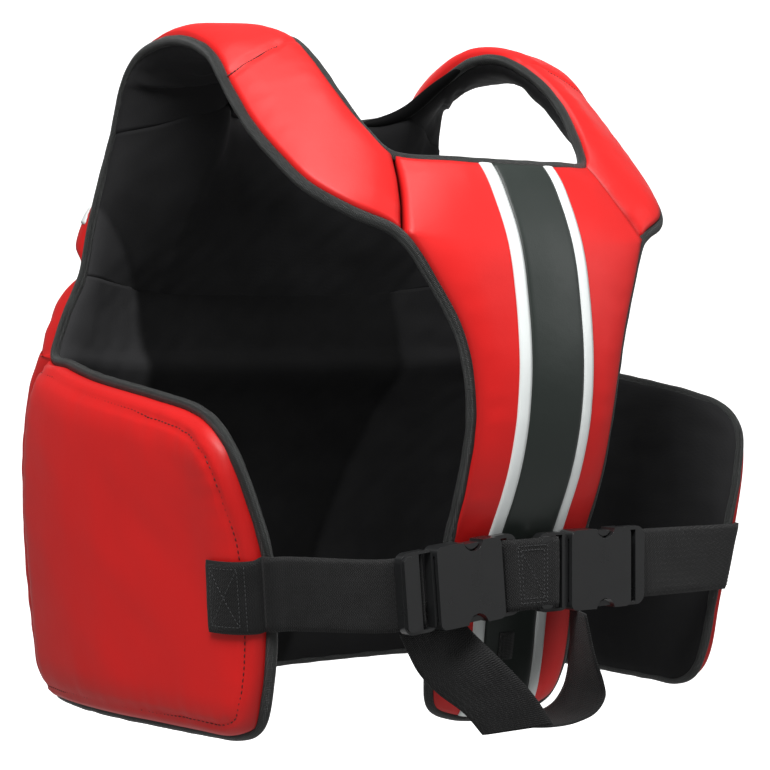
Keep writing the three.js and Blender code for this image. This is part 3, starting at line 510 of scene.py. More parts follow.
def woven(name, color, light, roughness, rib=0.0016, twill=0.0012, coords="UV"):
    """Ribs across a strip and a slanted weave, from the strip's own millimetres."""
    m, nt, shader = node_material(name, color, roughness, Sheen_Weight=0.08, Sheen_Roughness=0.4)
    shader.inputs["Specular IOR Level"].default_value = 0.3
    place_node = nt.nodes.new("ShaderNodeTexCoord")
    split = nt.nodes.new("ShaderNodeSeparateXYZ")
    nt.links.new(place_node.outputs[coords], split.inputs[0])
    along, across = split.outputs[0], split.outputs[1]
    ribs = maths(nt, "SINE", maths(nt, "MULTIPLY", along, 2 * math.pi / rib))
    # The slant turns back and forth across the width, as herringbone does
    fold = maths(nt, "PINGPONG", across, 0.0021)
    slant = maths(nt, "SINE", maths(nt, "MULTIPLY", maths(nt, "ADD", fold, along), 2 * math.pi / twill))
    height = maths(nt, "ADD", maths(nt, "MULTIPLY", ribs, 0.45), maths(nt, "MULTIPLY", slant, 0.55))
    # Painted shade and light: the colour is darker in the grooves of the weave and lighter on its raised threads, and
    # noise adds random tone
    tone = maths(nt, "ADD", maths(nt, "MULTIPLY", height, 0.25), noise_texture(nt, 60, 4, coords))
    nt.links.new(ramp(nt, tone, [(0.2, color), (0.85, light)]), shader.inputs["Base Color"])
    bump(nt, shader, height, 0.0003, 0.9)
    return m


def plastic(name, color):
    m, nt, shader = node_material(name, color, 0.3, Specular_IOR_Level=0.8)
    gloss = noise_texture(nt, 45, 4)
    nt.links.new(maths(nt, "ADD", maths(nt, "MULTIPLY", gloss, 0.14), 0.22), shader.inputs["Roughness"])
    bump(nt, shader, noise_texture(nt, 900, 2), 0.00008, 0.5)
    return m


RED = leather("red_leather", (0.66, 0.0125, 0.0115), (0.30, 0.004, 0.004), 0.45, 0.28)
WHITE = leather("white_leather", (0.80, 0.84, 0.83), (0.55, 0.57, 0.56), 0.42, 0.35)
DARK = leather("dark_leather", (0.016, 0.022, 0.019), (0.010, 0.013, 0.011), 0.46, 0.4)
# The lining is black cloth in shaded and lit colours: the two near-black ones are painted shade deep inside, the third
# is painted light where light reaches it
LINING = cloth("lining_cloth", (0.0009, 0.0009, 0.001), (0.0036, 0.0036, 0.0038), (0.025, 0.025, 0.026), 0.75, 900, 0.0002)
BINDING = woven("binding_tape", (0.012, 0.013, 0.0125), (0.024, 0.026, 0.025), 0.42, 0.0011, 0.0013)
WEB = woven("webbing_weave", (0.0018, 0.0018, 0.0019), (0.0092, 0.0094, 0.0097), 0.7, 0.0015, 0.0019)
BUCKLE = plastic("buckle_plastic", (0.013, 0.0135, 0.014))
THREAD_RED = node_material("red_thread", (0.075, 0.003, 0.003), 0.6)[0]
THREAD_DARK = node_material("dark_thread", (0.028, 0.029, 0.03), 0.55)[0]

# Mesh helpers


def make_object(name, verts, faces, material, uvs=None, edge=None, smooth=True):
    mesh = bpy.data.meshes.new(name)
    mesh.from_pydata((np.asarray(verts) * MM).tolist(), [], faces)
    mesh.validate()
    if uvs is not None:
        layer = mesh.uv_layers.new(name="UVMap")
        index = np.empty(len(mesh.loops), int)
        mesh.loops.foreach_get("vertex_index", index)
        layer.data.foreach_set("uv", np.asarray(uvs, np.float32)[index].ravel())
    # The "edge" attribute carries painted shade for the leather and painted light for the lining
    if edge is not None:
        attribute = mesh.attributes.new("edge", "FLOAT", "POINT")
        attribute.data.foreach_set("value", np.asarray(edge, np.float32))
    if smooth:
        mesh.polygons.foreach_set("use_smooth", [True] * len(mesh.polygons))
    mesh.materials.append(material)
    mesh.update()
    o = bpy.data.objects.new(name, mesh)
    bpy.context.scene.collection.objects.link(o)
    return o


def slab(lower, upper, name, material, uv=None, edge=None, flip=False):
    """A closed piece between two grids of points."""
    rows, columns = lower.shape[:2]
    count = rows * columns
    verts = np.concatenate([lower.reshape(-1, 3), upper.reshape(-1, 3)])
    grid = np.arange(count).reshape(rows, columns)
    a, b, c, d = grid[:-1, :-1], grid[:-1, 1:], grid[1:, 1:], grid[1:, :-1]
    top = np.stack([a, b, c, d], -1).reshape(-1, 4) + count
    bottom = np.stack([a, d, c, b], -1).reshape(-1, 4)
    rim = np.concatenate([grid[0, :], grid[1:, -1], grid[-1, -2::-1], grid[-2:0:-1, 0]])
    after = np.roll(rim, -1)
    sides = np.stack([rim, after, after + count, rim + count], -1)
    faces = np.concatenate([top, bottom, sides])
    if flip:
        faces = faces[:, ::-1]
    uvs = None if uv is None else np.concatenate([uv.reshape(-1, 2)] * 2)
    edges = None if edge is None else np.concatenate([edge.ravel()] * 2)
    return make_object(name, verts, faces.tolist(), material, uvs, edges)


def finish_piece(o, node):
    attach(o, "root")
    if node:
        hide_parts(node)
    return o


def stitches(name, path, out, material, pitch=4.2, length=3.1, width=0.95):
    """A row of short threads that dip into the cover at both ends."""
    steps = np.concatenate([[0], np.cumsum(np.linalg.norm(np.diff(path, axis=0), axis=1))])
    centres = np.arange(pitch / 2, steps[-1], pitch)

    def read(values, at):
        return np.stack([np.interp(at, steps, values[:, k]) for k in range(3)], -1)

    way = read(path, centres + length / 2) - read(path, centres - length / 2)
    way /= np.linalg.norm(way, axis=1)[:, None]
    normal = read(out, centres)
    across = np.cross(way, normal)
    across /= np.linalg.norm(across, axis=1)[:, None]
    rings = []
    for share, size in ((-1, 0.35), (-0.6, 0.85), (0, 1), (0.6, 0.85), (1, 0.35)):
        middle = read(path, centres + share * length / 2) - normal * (0.45 * share * share)
        for angle in np.arange(6) * math.pi / 3:
            around = across * math.cos(angle) + normal * math.sin(angle)
            rings.append(middle + around * (size * width / 2))
    verts = np.stack(rings, 1)
    faces = []
    for k in range(len(centres)):
        low = 30 * k
        for ring in range(4):
            for side in range(6):
                a, b = low + 6 * ring + side, low + 6 * ring + (side + 1) % 6
                faces.append((a, b, b + 6, a + 6))
        faces.append(tuple(low + side for side in range(5, -1, -1)))
        faces.append(tuple(low + 24 + side for side in range(6)))
    return finish_piece(make_object(name, verts.reshape(-1, 3), faces, material), None)


SPACING = 3.2


def patch_pieces(patch, names, sign):
    us, vs = patch.shares(SPACING, False), patch.shares(SPACING, True)
    u, v = np.meshgrid(us, vs)
    p = patch.base(u, v)
    edge = np.full(u.shape, 1e9)
    for line in patch.sides.values():
        edge = np.minimum(edge, nearest(p, line)[0])
    # Painted shade: the cover darkens towards its seams and bound edges
    shade = 1 - 0.75 * np.exp(-edge / 5)
    uv = np.stack([u * patch.wide, v * patch.tall], -1) * MM
    flip = sign < 0
    scale = np.array((sign, 1, 1))
    outer = patch.surface(u, v, patch.outer(u, v)) * scale
    inner = patch.surface(u, v, patch.inner(u, v)) * scale
    pad = slab(inner, outer, names + "_cover", RED, uv, shade, flip)
    finish_piece(pad, names + "_pad")
    # The lining lies inside the pad, a little slack
    u, v = np.meshgrid(patch.shares(SPACING, False, 0.25), patch.shares(SPACING, True, 0.25))
    p = patch.base(u, v)
    slack = 0.7 * waves(p, 42, 14) + 0.35 * waves(p, 19, 15)
    room = 1 - np.exp(-patch.bound_edge(p) / 9)
    high = patch.inner(u, v, False) - 0.3 - (1.0 + slack) * room
    # Painted light: the lining is lighter on its sides, where light reaches it
    painted_light_share = np.full(u.shape, LINING_PAINTED_LIGHT[patch.name])
    if patch.name in LINING_FOLD:
        start, change = LINING_FOLD[patch.name]
        past = (np.maximum(u, 1 - u) - start - change * v) * patch.wide
        turned_up = 1 / (1 + np.exp(-past / 1.6))
        high -= 2.2 * (1 - turned_up) * room
        # Painted light on the turned-up side, fullest on the wearer's left
        painted_light_share = np.maximum(painted_light_share, turned_up * np.where(u > 0.5, 1, 0.3))
    if patch.name == "shoulder":
        # The slack lining folds over itself just above the chest
        past = (v - FOLD_AT - 0.05 * (1 - u)) * patch.tall
        hang = np.where(past > 0, 5 * np.exp(-past / 16) * (1 - np.exp(-np.abs(past) / 1.2)), 0)
        crumple = 1.3 * waves(patch.base(u, v), 17, 47) * np.exp(-np.abs(past - 22) / 16)
        high -= (hang + np.where(past > 0, crumple, 0)) * room
        # Painted light: the lining beyond the fold, away from the chest, is lighter
        painted_light_share = np.where(past > 0, 0.75, 0.5)
    low = high - 1.3
    uv = np.stack([u * patch.wide, v * patch.tall], -1) * MM
    lining = slab(patch.surface(u, v, low) * scale, patch.surface(u, v, high) * scale,
                  names + "_lining_cloth", LINING, uv, painted_light_share, flip)
    finish_piece(lining, names + "_lining")
    return pad, lining


patch_pieces(belly, "belly", 1)
patch_pieces(chest, "chest", 1)
patch_pieces(spine, "spine", 1)
for side, sign in (("left", 1), ("right", -1)):
    patch_pieces(wing, side + "_wing", sign)
    patch_pieces(shoulder, side + "_shoulder", sign)

# The row of stitches inside the bound edges of the wings


def inward_row(patch, edge, reach):
    """Where a row that far in from an edge lies on the patch, as shares."""
    p = edge.point(np.linspace(0.01, 0.99, int(edge.length / 2.5)))
    along = np.gradient(p, axis=0)
    along /= np.linalg.norm(along, axis=1)[:, None]
    inward = patch.base(0.5, 0.5) - p
    inward -= along * (inward * along).sum(1)[:, None]
    p = p + inward * (reach / np.linalg.norm(inward, axis=1)[:, None])
    u, v = (grid.ravel() for grid in np.meshgrid(np.linspace(0, 1, 150), np.linspace(0, 1, 150)))
    marks = patch.base(u, v)
    nearest_mark = np.array([((marks - q) ** 2).sum(1).argmin() for q in p])
    kernel = np.ones(7) / 7
    row = []
    for share in (u[nearest_mark], v[nearest_mark]):
        row.append(np.convolve(np.pad(share, 3, mode="edge"), kernel, mode="valid"))
    return row


wing_edge = joined(outer_edge(CREASE_FOOT, WING_HEEL), outer_edge(WING_HEEL, WING_TIP), outer_edge(WING_TIP, CREASE_HEAD))
u, v = inward_row(wing, wing_edge, STITCH_IN)
row, row_out = wing.surface(u, v, wing.outer(u, v) + 0.25), wing.normal(u, v)
for side, sign in (("left", 1), ("right", -1)):
    stitches(side + "_wing_stitches", row * (sign, 1, 1), row_out * (sign, 1, 1), THREAD_RED)

# The seam across each shoulder, drawn tight; its dark red stitches also stand in for the shade in the seam, as painted
# shade
marks = cross_seam.point(np.linspace(1, 0, 60) * 0.7 + 0.3)
grid_u, grid_v = (g.ravel() for g in np.meshgrid(np.linspace(0, 1, 200), np.linspace(0.3, 0.7, 400)))
grid_points = shoulder.base(grid_u, grid_v)
found = np.array([((grid_points - q) ** 2).sum(1).argmin() for q in marks])
kernel = np.ones(9) / 9
u, v = (np.convolve(np.pad(g[found], 4, mode="edge"), kernel, mode="valid") for g in (grid_u, grid_v))
row, row_out = shoulder.surface(u, v, shoulder.outer(u, v) + 0.6), shoulder.normal(u, v)
for side, sign in (("left", 1), ("right", -1)):
    stitches(side + "_shoulder_seam", row * (sign, 1, 1), row_out * (sign, 1, 1), THREAD_RED,
             3.0, 3.4, 1.1)

# Binding

BODY_MIDDLE = np.array((0, 0.12 * BACK_DEPTH, -0.34 * DROP))


def binding(name, loop, node):
    closed = Line(np.concatenate([loop, loop[:1]]))
    count = int(closed.length / (2.6))
    share = np.arange(count) / count
    p = closed.point(share)
    ahead, behind = closed.point((share + 1.5 / count) % 1), closed.point((share - 1.5 / count) % 1)
    tangent = ahead - behind
    tangent /= np.linalg.norm(tangent, axis=1)[:, None]
    normal = p - BODY_MIDDLE
    normal -= tangent * (normal * tangent).sum(1)[:, None]
    normal /= np.linalg.norm(normal, axis=1)[:, None]
    across = np.cross(tangent, normal)
    angles = np.linspace(0, 2 * math.pi, 18, endpoint=False)
    wobble = 1 + 0.035 * waves(share[:, None] * closed.length, 26, 61, 8)
    rings = []
    for angle in angles:
        c, s = math.cos(angle), math.sin(angle)
        # A folded tape is fuller at its turned edge than a round cord
        c = math.copysign(abs(c) ** 0.85, c)
        s = math.copysign(abs(s) ** 0.85, s)
        size = wobble[:, None]
        rings.append(p + across * c * BINDING_WIDTH / 2 * size + normal * s * BINDING_THICKNESS / 2 * size)
    grid = np.stack(rings, 1)
    rows, columns = grid.shape[:2]
    index = np.arange(rows * columns).reshape(rows, columns)
    a, b = index, np.roll(index, -1, 1)
    c, d = np.roll(b, -1, 0), np.roll(a, -1, 0)
    faces = np.stack([a, d, c, b], -1).reshape(-1, 4)
    uv = np.stack(np.broadcast_arrays(share[:, None] * closed.length, angles[None] * 4), -1) * MM
    o = make_object(name, grid.reshape(-1, 3), faces.tolist(), BINDING, uv.reshape(-1, 2))
    bm = bmesh.new()
    bm.from_mesh(o.data)
    bmesh.ops.recalc_face_normals(bm, faces=bm.faces)
    bm.to_mesh(o.data)
    bm.free()
    return finish_piece(o, node)


binding("outer_binding_tape", outer_loop, "outer_binding")
binding("neck_binding_tape", neck_loop, "neck_binding")

# A soft fold of the lining at each front corner of the neck, thickest in its middle


def neck_fold(side, sign):
    start, end = (NECK_FRONT - 2) * SAMPLES, (NECK_FRONT + 2) * SAMPLES
    path = Line(neck_loop[start:end + 1])
    share = np.linspace(0, 1, 30)
    girth = NECK_FOLD * np.sin(math.pi * share) ** 0.7 + 0.3
    ahead, behind = path.point(share + 0.02), path.point(share - 0.02)
    tangent = (ahead - behind) / np.linalg.norm(ahead - behind, axis=1)[:, None]
    inward = np.cross(tangent, np.cross(NECK_FOLD_WAY, tangent))
    inward /= np.linalg.norm(inward, axis=1)[:, None]
    across = np.cross(tangent, inward)
    middle = path.point(share) + inward * (0.6 * girth)[:, None]
    rings = []
    for angle in np.linspace(0, 2 * math.pi, 16, endpoint=False):
        around = inward * math.cos(angle) + across * math.sin(angle)
        rings.append(middle + around * girth[:, None])
    grid = np.stack(rings, 1)
    rows, columns = grid.shape[:2]
    index = np.arange(rows * columns).reshape(rows, columns)
    a, b = index[:-1], np.roll(index, -1, 1)[:-1]
    c, d = np.roll(index, -1, 1)[1:], index[1:]
    faces = np.stack([a, b, c, d], -1).reshape(-1, 4).tolist()
    faces += [index[0, ::-1].tolist(), index[-1].tolist()]
    o = make_object(side + "_neck_fold", grid.reshape(-1, 3) * (sign, 1, 1), faces, LINING)
    bm = bmesh.new()
    bm.from_mesh(o.data)
    bmesh.ops.recalc_face_normals(bm, faces=bm.faces)
    bm.to_mesh(o.data)
    bm.free()
    finish_piece(o, None)


NECK_FOLD = 5
NECK_FOLD_WAY = np.array((-0.78, 0.62, -0.1))
neck_fold("left", 1)
neck_fold("right", -1)

# Band, stripes and label


def share_across(patch, x, v):
    low, high = np.zeros_like(v), np.ones_like(v)
    rising = patch.base(1, v)[..., 0] > patch.base(0, v)[..., 0]
    for _ in range(24):
        middle = (low + high) / 2
        short = (patch.base(middle, v)[..., 0] < x) == rising
        low, high = np.where(short, middle, low), np.where(short, high, middle)
    return (low + high) / 2


def share_at_height(point, z):
    low, high = 0.0, 1.0
    rising = point(1.0)[2] > point(0.0)[2]
    for _ in range(24):
        middle = (low + high) / 2
        if (point(middle)[2] < z) == rising:
            low = middle
        else:
            high = middle
    return (low + high) / 2


def trim(name, patch, x0, x1, vs, material, node, lift=TRIM_GAP, thick=TRIM_THICKNESS):
    columns = max(int(abs(x1 - x0) / 2.4), 5)
    xs = np.linspace(x0, x1, columns)
    x, v = np.meshgrid(xs, vs)
    u = share_across(patch, x, v)
    height = patch.outer(u, v)
    rim = np.minimum(np.abs(x - x0), np.abs(x - x1))
    rounding = 0.55 * np.exp(-rim / 0.7)
    lower = patch.surface(u, v, height + lift - 1.0)
    upper = patch.surface(u, v, height + lift + thick - rounding)
    uv = np.stack([v * patch.tall, x], -1) * MM
    # Painted shade along both rims of the strip
    shade = 1 - 0.5 * np.exp(-rim / 1.2)
    flip = np.cross(upper[0, 1] - upper[0, 0], upper[1, 0] - upper[0, 0]) @ patch.normal(u[0, 0], v[0, 0]) < 0
    o = slab(lower, upper, name, material, uv, shade, flip)
    finish_piece(o, node)
    return o


spine_rows = spine.shares(SPACING, True)
trim("band", spine, -BAND_HALF, BAND_HALF, spine_rows, DARK, "spine_band")
stripe_inner = BAND_HALF + 0.15
stripe_outer = stripe_inner + TRIM_GAP + STRIPE_WIDTH
trim("left_stripe", spine, stripe_inner, stripe_outer, spine_rows, WHITE, "left_spine_stripe")
trim("right_stripe", spine, -stripe_outer, -stripe_inner, spine_rows, WHITE, "right_spine_stripe")

low = share_at_height(chest_side.point, -117)
high = share_at_height(chest_side.point, -103)
us = chest.shares(SPACING, False)
u, v = np.meshgrid(us, np.linspace(low, high, 7))
height = chest.outer(u, v)
uv = np.stack([u * chest.wide, v * chest.tall], -1) * MM
stripe = slab(chest.surface(u, v, height - 0.4), chest.surface(u, v, height + 1.6), "chest_stripe_strip", WHITE,
              uv, np.ones(u.shape))
finish_piece(stripe, "chest_stripe")

label_rows = np.linspace(share_at_height(spine.right.point, -398), share_at_height(spine.right.point, -417), 12)
trim("tag", spine, -2, 11, np.sort(label_rows), BINDING, "label", 2 * TRIM_GAP + TRIM_THICKNESS, 0.7)

# Webbing


def webbing(name, first, second, node, held, rests_on):
    """Flat webbing between two edge lines that have a point for each other."""
    one, two = smooth_line(first), smooth_line(second)
    length = (one.length + two.length) / 2
    rows = int(length / 2)
    # The same share of stations on both edges keeps the weave square
    t = np.linspace(0, 1, rows)
    stations = np.linspace(0, 1, len(one.points))
    p = np.stack([np.interp(t, stations, one.points[:, k]) for k in range(3)], -1)
    q = np.stack([np.interp(t, stations, two.points[:, k]) for k in range(3)], -1)
    columns = 14
    side = np.linspace(0, 1, columns)
    middle = p[:, None] + (q - p)[:, None] * side[None, :, None]
    along = np.gradient((p + q) / 2, axis=0)
    normal = np.cross(along, q - p)
    normal /= np.linalg.norm(normal, axis=1)[:, None]
    # Selvedges are a little thinner than the middle
    half = WEBBING_THICKNESS / 2 * (1 - 0.55 * np.exp(-np.minimum(side, 1 - side) * WEBBING / 0.9))
    wave = 0.16 * waves(middle, 30, 71)
    lift = (half[None, :] + 0)[..., None]
    upper = middle + normal[:, None] * (lift + wave[..., None])
    lower = middle - normal[:, None] * (lift - wave[..., None])
    steps = np.concatenate([[0], np.cumsum(np.linalg.norm(np.diff((p + q) / 2, axis=0), axis=1))])
    uv = np.stack(np.broadcast_arrays(steps[:, None], side[None] * WEBBING), -1) * MM
    o = slab(lower, upper, name, WEB, uv)
    bm = bmesh.new()
    bm.from_mesh(o.data)
    bmesh.ops.recalc_face_normals(bm, faces=bm.faces)
    bm.to_mesh(o.data)
    bm.free()
    finish_piece(o, node)
    return middle, normal, steps


BINDING_REACH = BINDING_WIDTH / 2 + WEBBING_THICKNESS / 2 + TRIM_GAP
LEAVING = [(1, 0.27), (0.93, 0.98), (0.27, 1.54), (-1.25, 1.75)]
BAR = 6
BAR_REACH = BAR / 2 + WEBBING_THICKNESS / 2 + WEBBING_CLEARANCE


def threading(bar):
    return [
        (BAR_REACH, -BAR_REACH), (1 - bar, -BAR_REACH),
        (-0.5 * BAR_REACH - bar, -0.74 * BAR_REACH), (-0.92 * BAR_REACH - bar, 0.1 * BAR_REACH),
    ]


def strap_edges(from_bar, bar):
    edges = []
    for side in (1, -1):
        drop = WING_BELT_DROP - side * WEBBING / 2
        points = []
        for share in (1, 0.8, 0.6, 0.4, 0.2, 0.06):
            u = 1 - share * SEWN_LENGTH / wing.wide
            v = share_at_height(lambda up: wing.base(u, up), -drop)
            clear = max(float(wing.outer(np.array(u), np.array(v), False)), BINDING_THICKNESS / 2)
            points.append(wing.surface(u, v, clear + WEBBING_THICKNESS / 2 + 2 * TRIM_GAP))
        rim = wing.right.point(share_at_height(wing.right.point, -drop))
        for across, back in LEAVING:
            points.append(rim + BINDING_REACH * np.array((across, back, 0)))
        for past, back in threading(bar):
            points.append(from_bar(np.array((past, back, side * WEBBING / 2))))
        edges.append(np.array(points))
    return edges


def buckle_middle(at, tilt):
    return np.array((at, BELT_BACK, -BELT_DROP - math.sin(tilt) * BODY_LENGTH))


def turned(point, tilt):
    c, s = math.cos(tilt), math.sin(tilt)
    return np.array((point[0] * c + point[2] * s, point[1], point[2] * c - point[0] * s))


left_edges = strap_edges(
    lambda q: turned(q + (FRAME_LENGTH, 0, 0), LEFT_TILT) + buckle_middle(LEFT_BUCKLE_AT, LEFT_TILT), PLUG_BAR)
right_edges = strap_edges(
    lambda q: q + (SOCKET_LENGTH, 0, 0) + mirrored(buckle_middle(RIGHT_BUCKLE_AT, 0)), SOCKET_BAR)
left_strip = webbing("left_strap_webbing", *left_edges, "left_strap", "stretched", ["left_wing_cover"])
right_strip = webbing("right_strap_webbing", *[mirrored(e) for e in right_edges], "right_strap", "stretched", ["right_wing_cover"])

left_bar = LEFT_BUCKLE_AT - SOCKET_LENGTH + SOCKET_BAR
right_bar = RIGHT_BUCKLE_AT + FRAME_LENGTH - PLUG_BAR
lean = math.sin(LEFT_TILT) * WEBBING / 2
BELT_PATH = [
    (left_bar + 0.92 * BAR_REACH, -0.2 * BAR_REACH, lean), (left_bar + 0.6 * BAR_REACH, 0.7 * BAR_REACH, lean),
    (left_bar - 0.2 * BAR_REACH, BAR_REACH, lean), (left_bar - 2 * BAR_REACH, BAR_REACH, lean),
    ((left_bar + right_bar) / 2, BAR_REACH, 0), (right_bar + 2 * BAR_REACH, BAR_REACH, 0),
    (right_bar + 0.2 * BAR_REACH, BAR_REACH, 0), (right_bar - 0.6 * BAR_REACH, 0.7 * BAR_REACH, 0),
    (right_bar - 0.92 * BAR_REACH, -0.2 * BAR_REACH, 0),
]
belt_edges = [
    np.array([(x + side * tip, BELT_BACK + back, side * WEBBING / 2 - BELT_DROP) for x, back, tip in BELT_PATH])
    for side in (1, -1)
]
belt_strip = webbing("belt_webbing", *belt_edges, "centre_belt", "stretched", ["band"])



def sewn(name, strip, corners):
    """A row of stitches on webbing, through places given along and across it in millimetres."""
    middle, normal, steps = strip
    marks = np.array(corners, float)
    lengths = np.concatenate([[0], np.cumsum(np.linalg.norm(np.diff(marks, axis=0), axis=1))])
    at = np.linspace(0, lengths[-1], int(lengths[-1] / 0.8))
    rows = np.interp(np.interp(at, lengths, marks[:, 0]), steps, np.arange(len(steps)))
    columns = np.interp(at, lengths, marks[:, 1]) / WEBBING * (middle.shape[1] - 1)
    r, c = np.minimum(rows.astype(int), len(steps) - 2), np.minimum(columns.astype(int), middle.shape[1] - 2)
    a, b = (rows - r)[:, None], (columns - c)[:, None]
    near = middle[r, c] * (1 - b) + middle[r, c + 1] * b
    far = middle[r + 1, c] * (1 - b) + middle[r + 1, c + 1] * b
    path = near * (1 - a) + far * a
    out = normal[r]
    out = out * np.sign(((path - BODY_MIDDLE) * out).sum(1))[:, None]
    path = path + out * (WEBBING_THICKNESS / 2 + 0.2)
    stitches(name, path, out, THREAD_DARK, 3.0, 2.2, 0.8)


for side, strip in (("left", left_strip), ("right", right_strip)):
    sewn(side + "_strap_box", strip, [(4, 5), (27, 5), (27, 45), (4, 45), (4, 5), (27, 45)])
    sewn(side + "_strap_cross", strip, [(27, 5), (4, 45)])
    sewn(side + "_strap_row", strip, [(32, 3), (32, 47)])
belt_middle = belt_strip[2][-1] / 2
sewn("belt_box", belt_strip, [(belt_middle + s, t) for s, t in ((-14, 5), (12, 5), (12, 45), (-14, 45), (-14, 5), (12, 45))])
sewn("belt_inner_box", belt_strip, [(belt_middle + s, t) for s, t in ((-11, 8), (9, 8), (9, 42), (-11, 42), (-11, 8))])

LEFT_TAIL = (
    (LEFT_BUCKLE_AT + 0.06 * WEBBING, BELT_BACK - 7.5 - 1 - 0.35, -BELT_DROP - 0.38 * WEBBING),
    [
        ((0, 0, 0), (0.77, 0.02, -0.64)), ((-0.2, -0.03, -0.3), (0.79, 0, -0.6)),
        ((-0.42, -0.03, -0.6), (0.78, -0.06, -0.6)), ((-0.76, 0.12, -0.98), (0.76, -0.46, -0.44)),
        ((-1.16, 0.28, -1.38), (0.79, -0.56, -0.25)), ((-1.44, 0.36, -1.75), (0.8, -0.58, -0.14)),
    ],
)
RIGHT_TAIL = (
    (RIGHT_BUCKLE_AT - 0.16 * WEBBING, BELT_BACK + 0.09 * WEBBING, -BELT_DROP - BUCKLE_HEIGHT / 2 - 0.35),
    [
        ((0, 0, 0), (0.5, 0.87, 0)), ((-0.08, 0, -0.55), (0.38, 0.92, 0)),
        ((-0.15, -0.01, -0.98), (0.2, 0.98, 0)), ((-0.13, -0.02, -1.18), (0.1, 0.99, 0)),
        ((0.03, -0.05, -1.38), (0.08, 1, 0)), ((0.32, -0.12, -1.5), (0.1, 0.99, 0)),
        ((0.7, -0.23, -1.54), (0.14, 0.99, 0)), ((1.0, -0.42, -1.54), (0.16, 0.98, 0)),
    ],
)


def tail_edges(tail):
    start, rows = tail
    edges = []
    for sign in (1, -1):
        points = []
        for middle, width in rows:
            way = np.array(width) / np.linalg.norm(width)
            points.append(np.array(start) + np.array(middle) * WEBBING + way * sign * WEBBING / 2)
        edges.append(np.array(points))
    return edges


webbing("left_tail_webbing", *tail_edges(LEFT_TAIL), "left_strap_tail", "hung", ["left_strap_webbing"])
webbing("right_tail_webbing", *tail_edges(RIGHT_TAIL), "right_strap_tail", "hung", ["belt_webbing"])

# Buckles


def outline(low, high, height, radius, steps=8):
    half = height / 2
    points = []
    for cx, cz, start in ((high - radius, -half + radius, -90), (high - radius, half - radius, 0),
                          (low + radius, half - radius, 90), (low + radius, -half + radius, 180)):
        for k in range(steps + 1):
            a = math.radians(start + 90 * k / steps)
            points.append((cx + radius * math.cos(a), cz + radius * math.sin(a)))
    return points


def plate(points, thick, back=0.0):
    bm = bmesh.new()
    front = [bm.verts.new((x * MM, (back - thick / 2) * MM, z * MM)) for x, z in points]
    rear = [bm.verts.new((x * MM, (back + thick / 2) * MM, z * MM)) for x, z in points]
    bm.faces.new(front)
    bm.faces.new(rear[::-1])
    for i in range(len(points)):
        j = (i + 1) % len(points)
        bm.faces.new((front[j], front[i], rear[i], rear[j]))
    bmesh.ops.recalc_face_normals(bm, faces=bm.faces)
    mesh = bpy.data.meshes.new("cutter")
    bm.to_mesh(mesh)
    bm.free()
    o = bpy.data.objects.new("cutter", mesh)
    bpy.context.scene.collection.objects.link(o)
    return o


def box(x, y, z):
    return plate([(x[0], z[0]), (x[1], z[0]), (x[1], z[1]), (x[0], z[1])], y[1] - y[0], (y[0] + y[1]) / 2)


def disc(cx, cz, radius, thick, back=0.0, steps=40):
    turns = [2 * math.pi * k / steps for k in range(steps)]
    return plate([(cx + radius * math.cos(a), cz + radius * math.sin(a)) for a in turns], thick, back)


def combine(o, other, operation):
    m = o.modifiers.new("cut", "BOOLEAN")
    m.operation = operation
    m.object = other
    m.solver = "EXACT"
    bpy.context.view_layer.objects.active = o
    bpy.ops.object.modifier_apply(modifier=m.name)
    bpy.data.objects.remove(other)


def softened(o, name, width, node, place_at, tilt, segments=3):
    m = o.modifiers.new("soft", "BEVEL")
    m.width = width * MM
    m.segments = segments
    m.limit_method = "ANGLE"
    m.angle_limit = math.radians(32)
    m.harden_normals = False
    bpy.context.view_layer.objects.active = o
    bpy.ops.object.modifier_apply(modifier=m.name)
    o.data.transform(Matrix.Translation(Vector(place_at) * MM) @ Matrix.Rotation(tilt, 4, "Y"))
    o.data.polygons.foreach_set("use_smooth", [True] * len(o.data.polygons))
    o.name = name
    o.data.name = name
    o.data.materials.append(BUCKLE)
    w = o.modifiers.new("normals", "WEIGHTED_NORMAL")
    w.keep_sharp = False
    finish_piece(o, node)
    return o


def socket(side, at, tilt):
    slot_end = -BODY_LENGTH - 1
    o = plate(outline(slot_end, 0, BUCKLE_HEIGHT, 5), 14.4)
    combine(o, plate(outline(-SOCKET_LENGTH, -BODY_LENGTH / 2, BUCKLE_HEIGHT, 8), 7), "UNION")
    combine(o, box((slot_end - 8, slot_end), (-20, 20), (-SLOT_HEIGHT / 2, SLOT_HEIGHT / 2)), "DIFFERENCE")
    combine(o, box((10 - BODY_LENGTH, 1), (-4.2, 4.2), (-MOUTH_HEIGHT / 2, MOUTH_HEIGHT / 2)), "DIFFERENCE")
    for way in (-1, 1):
        combine(o, disc(-NOTCH_BACK, way * (BUCKLE_HEIGHT / 2 + 2), 9, 30), "DIFFERENCE")
    return softened(o, f"{side}_buckle_body", 2.2, f"{side}_buckle_socket", buckle_middle(at, tilt), tilt)


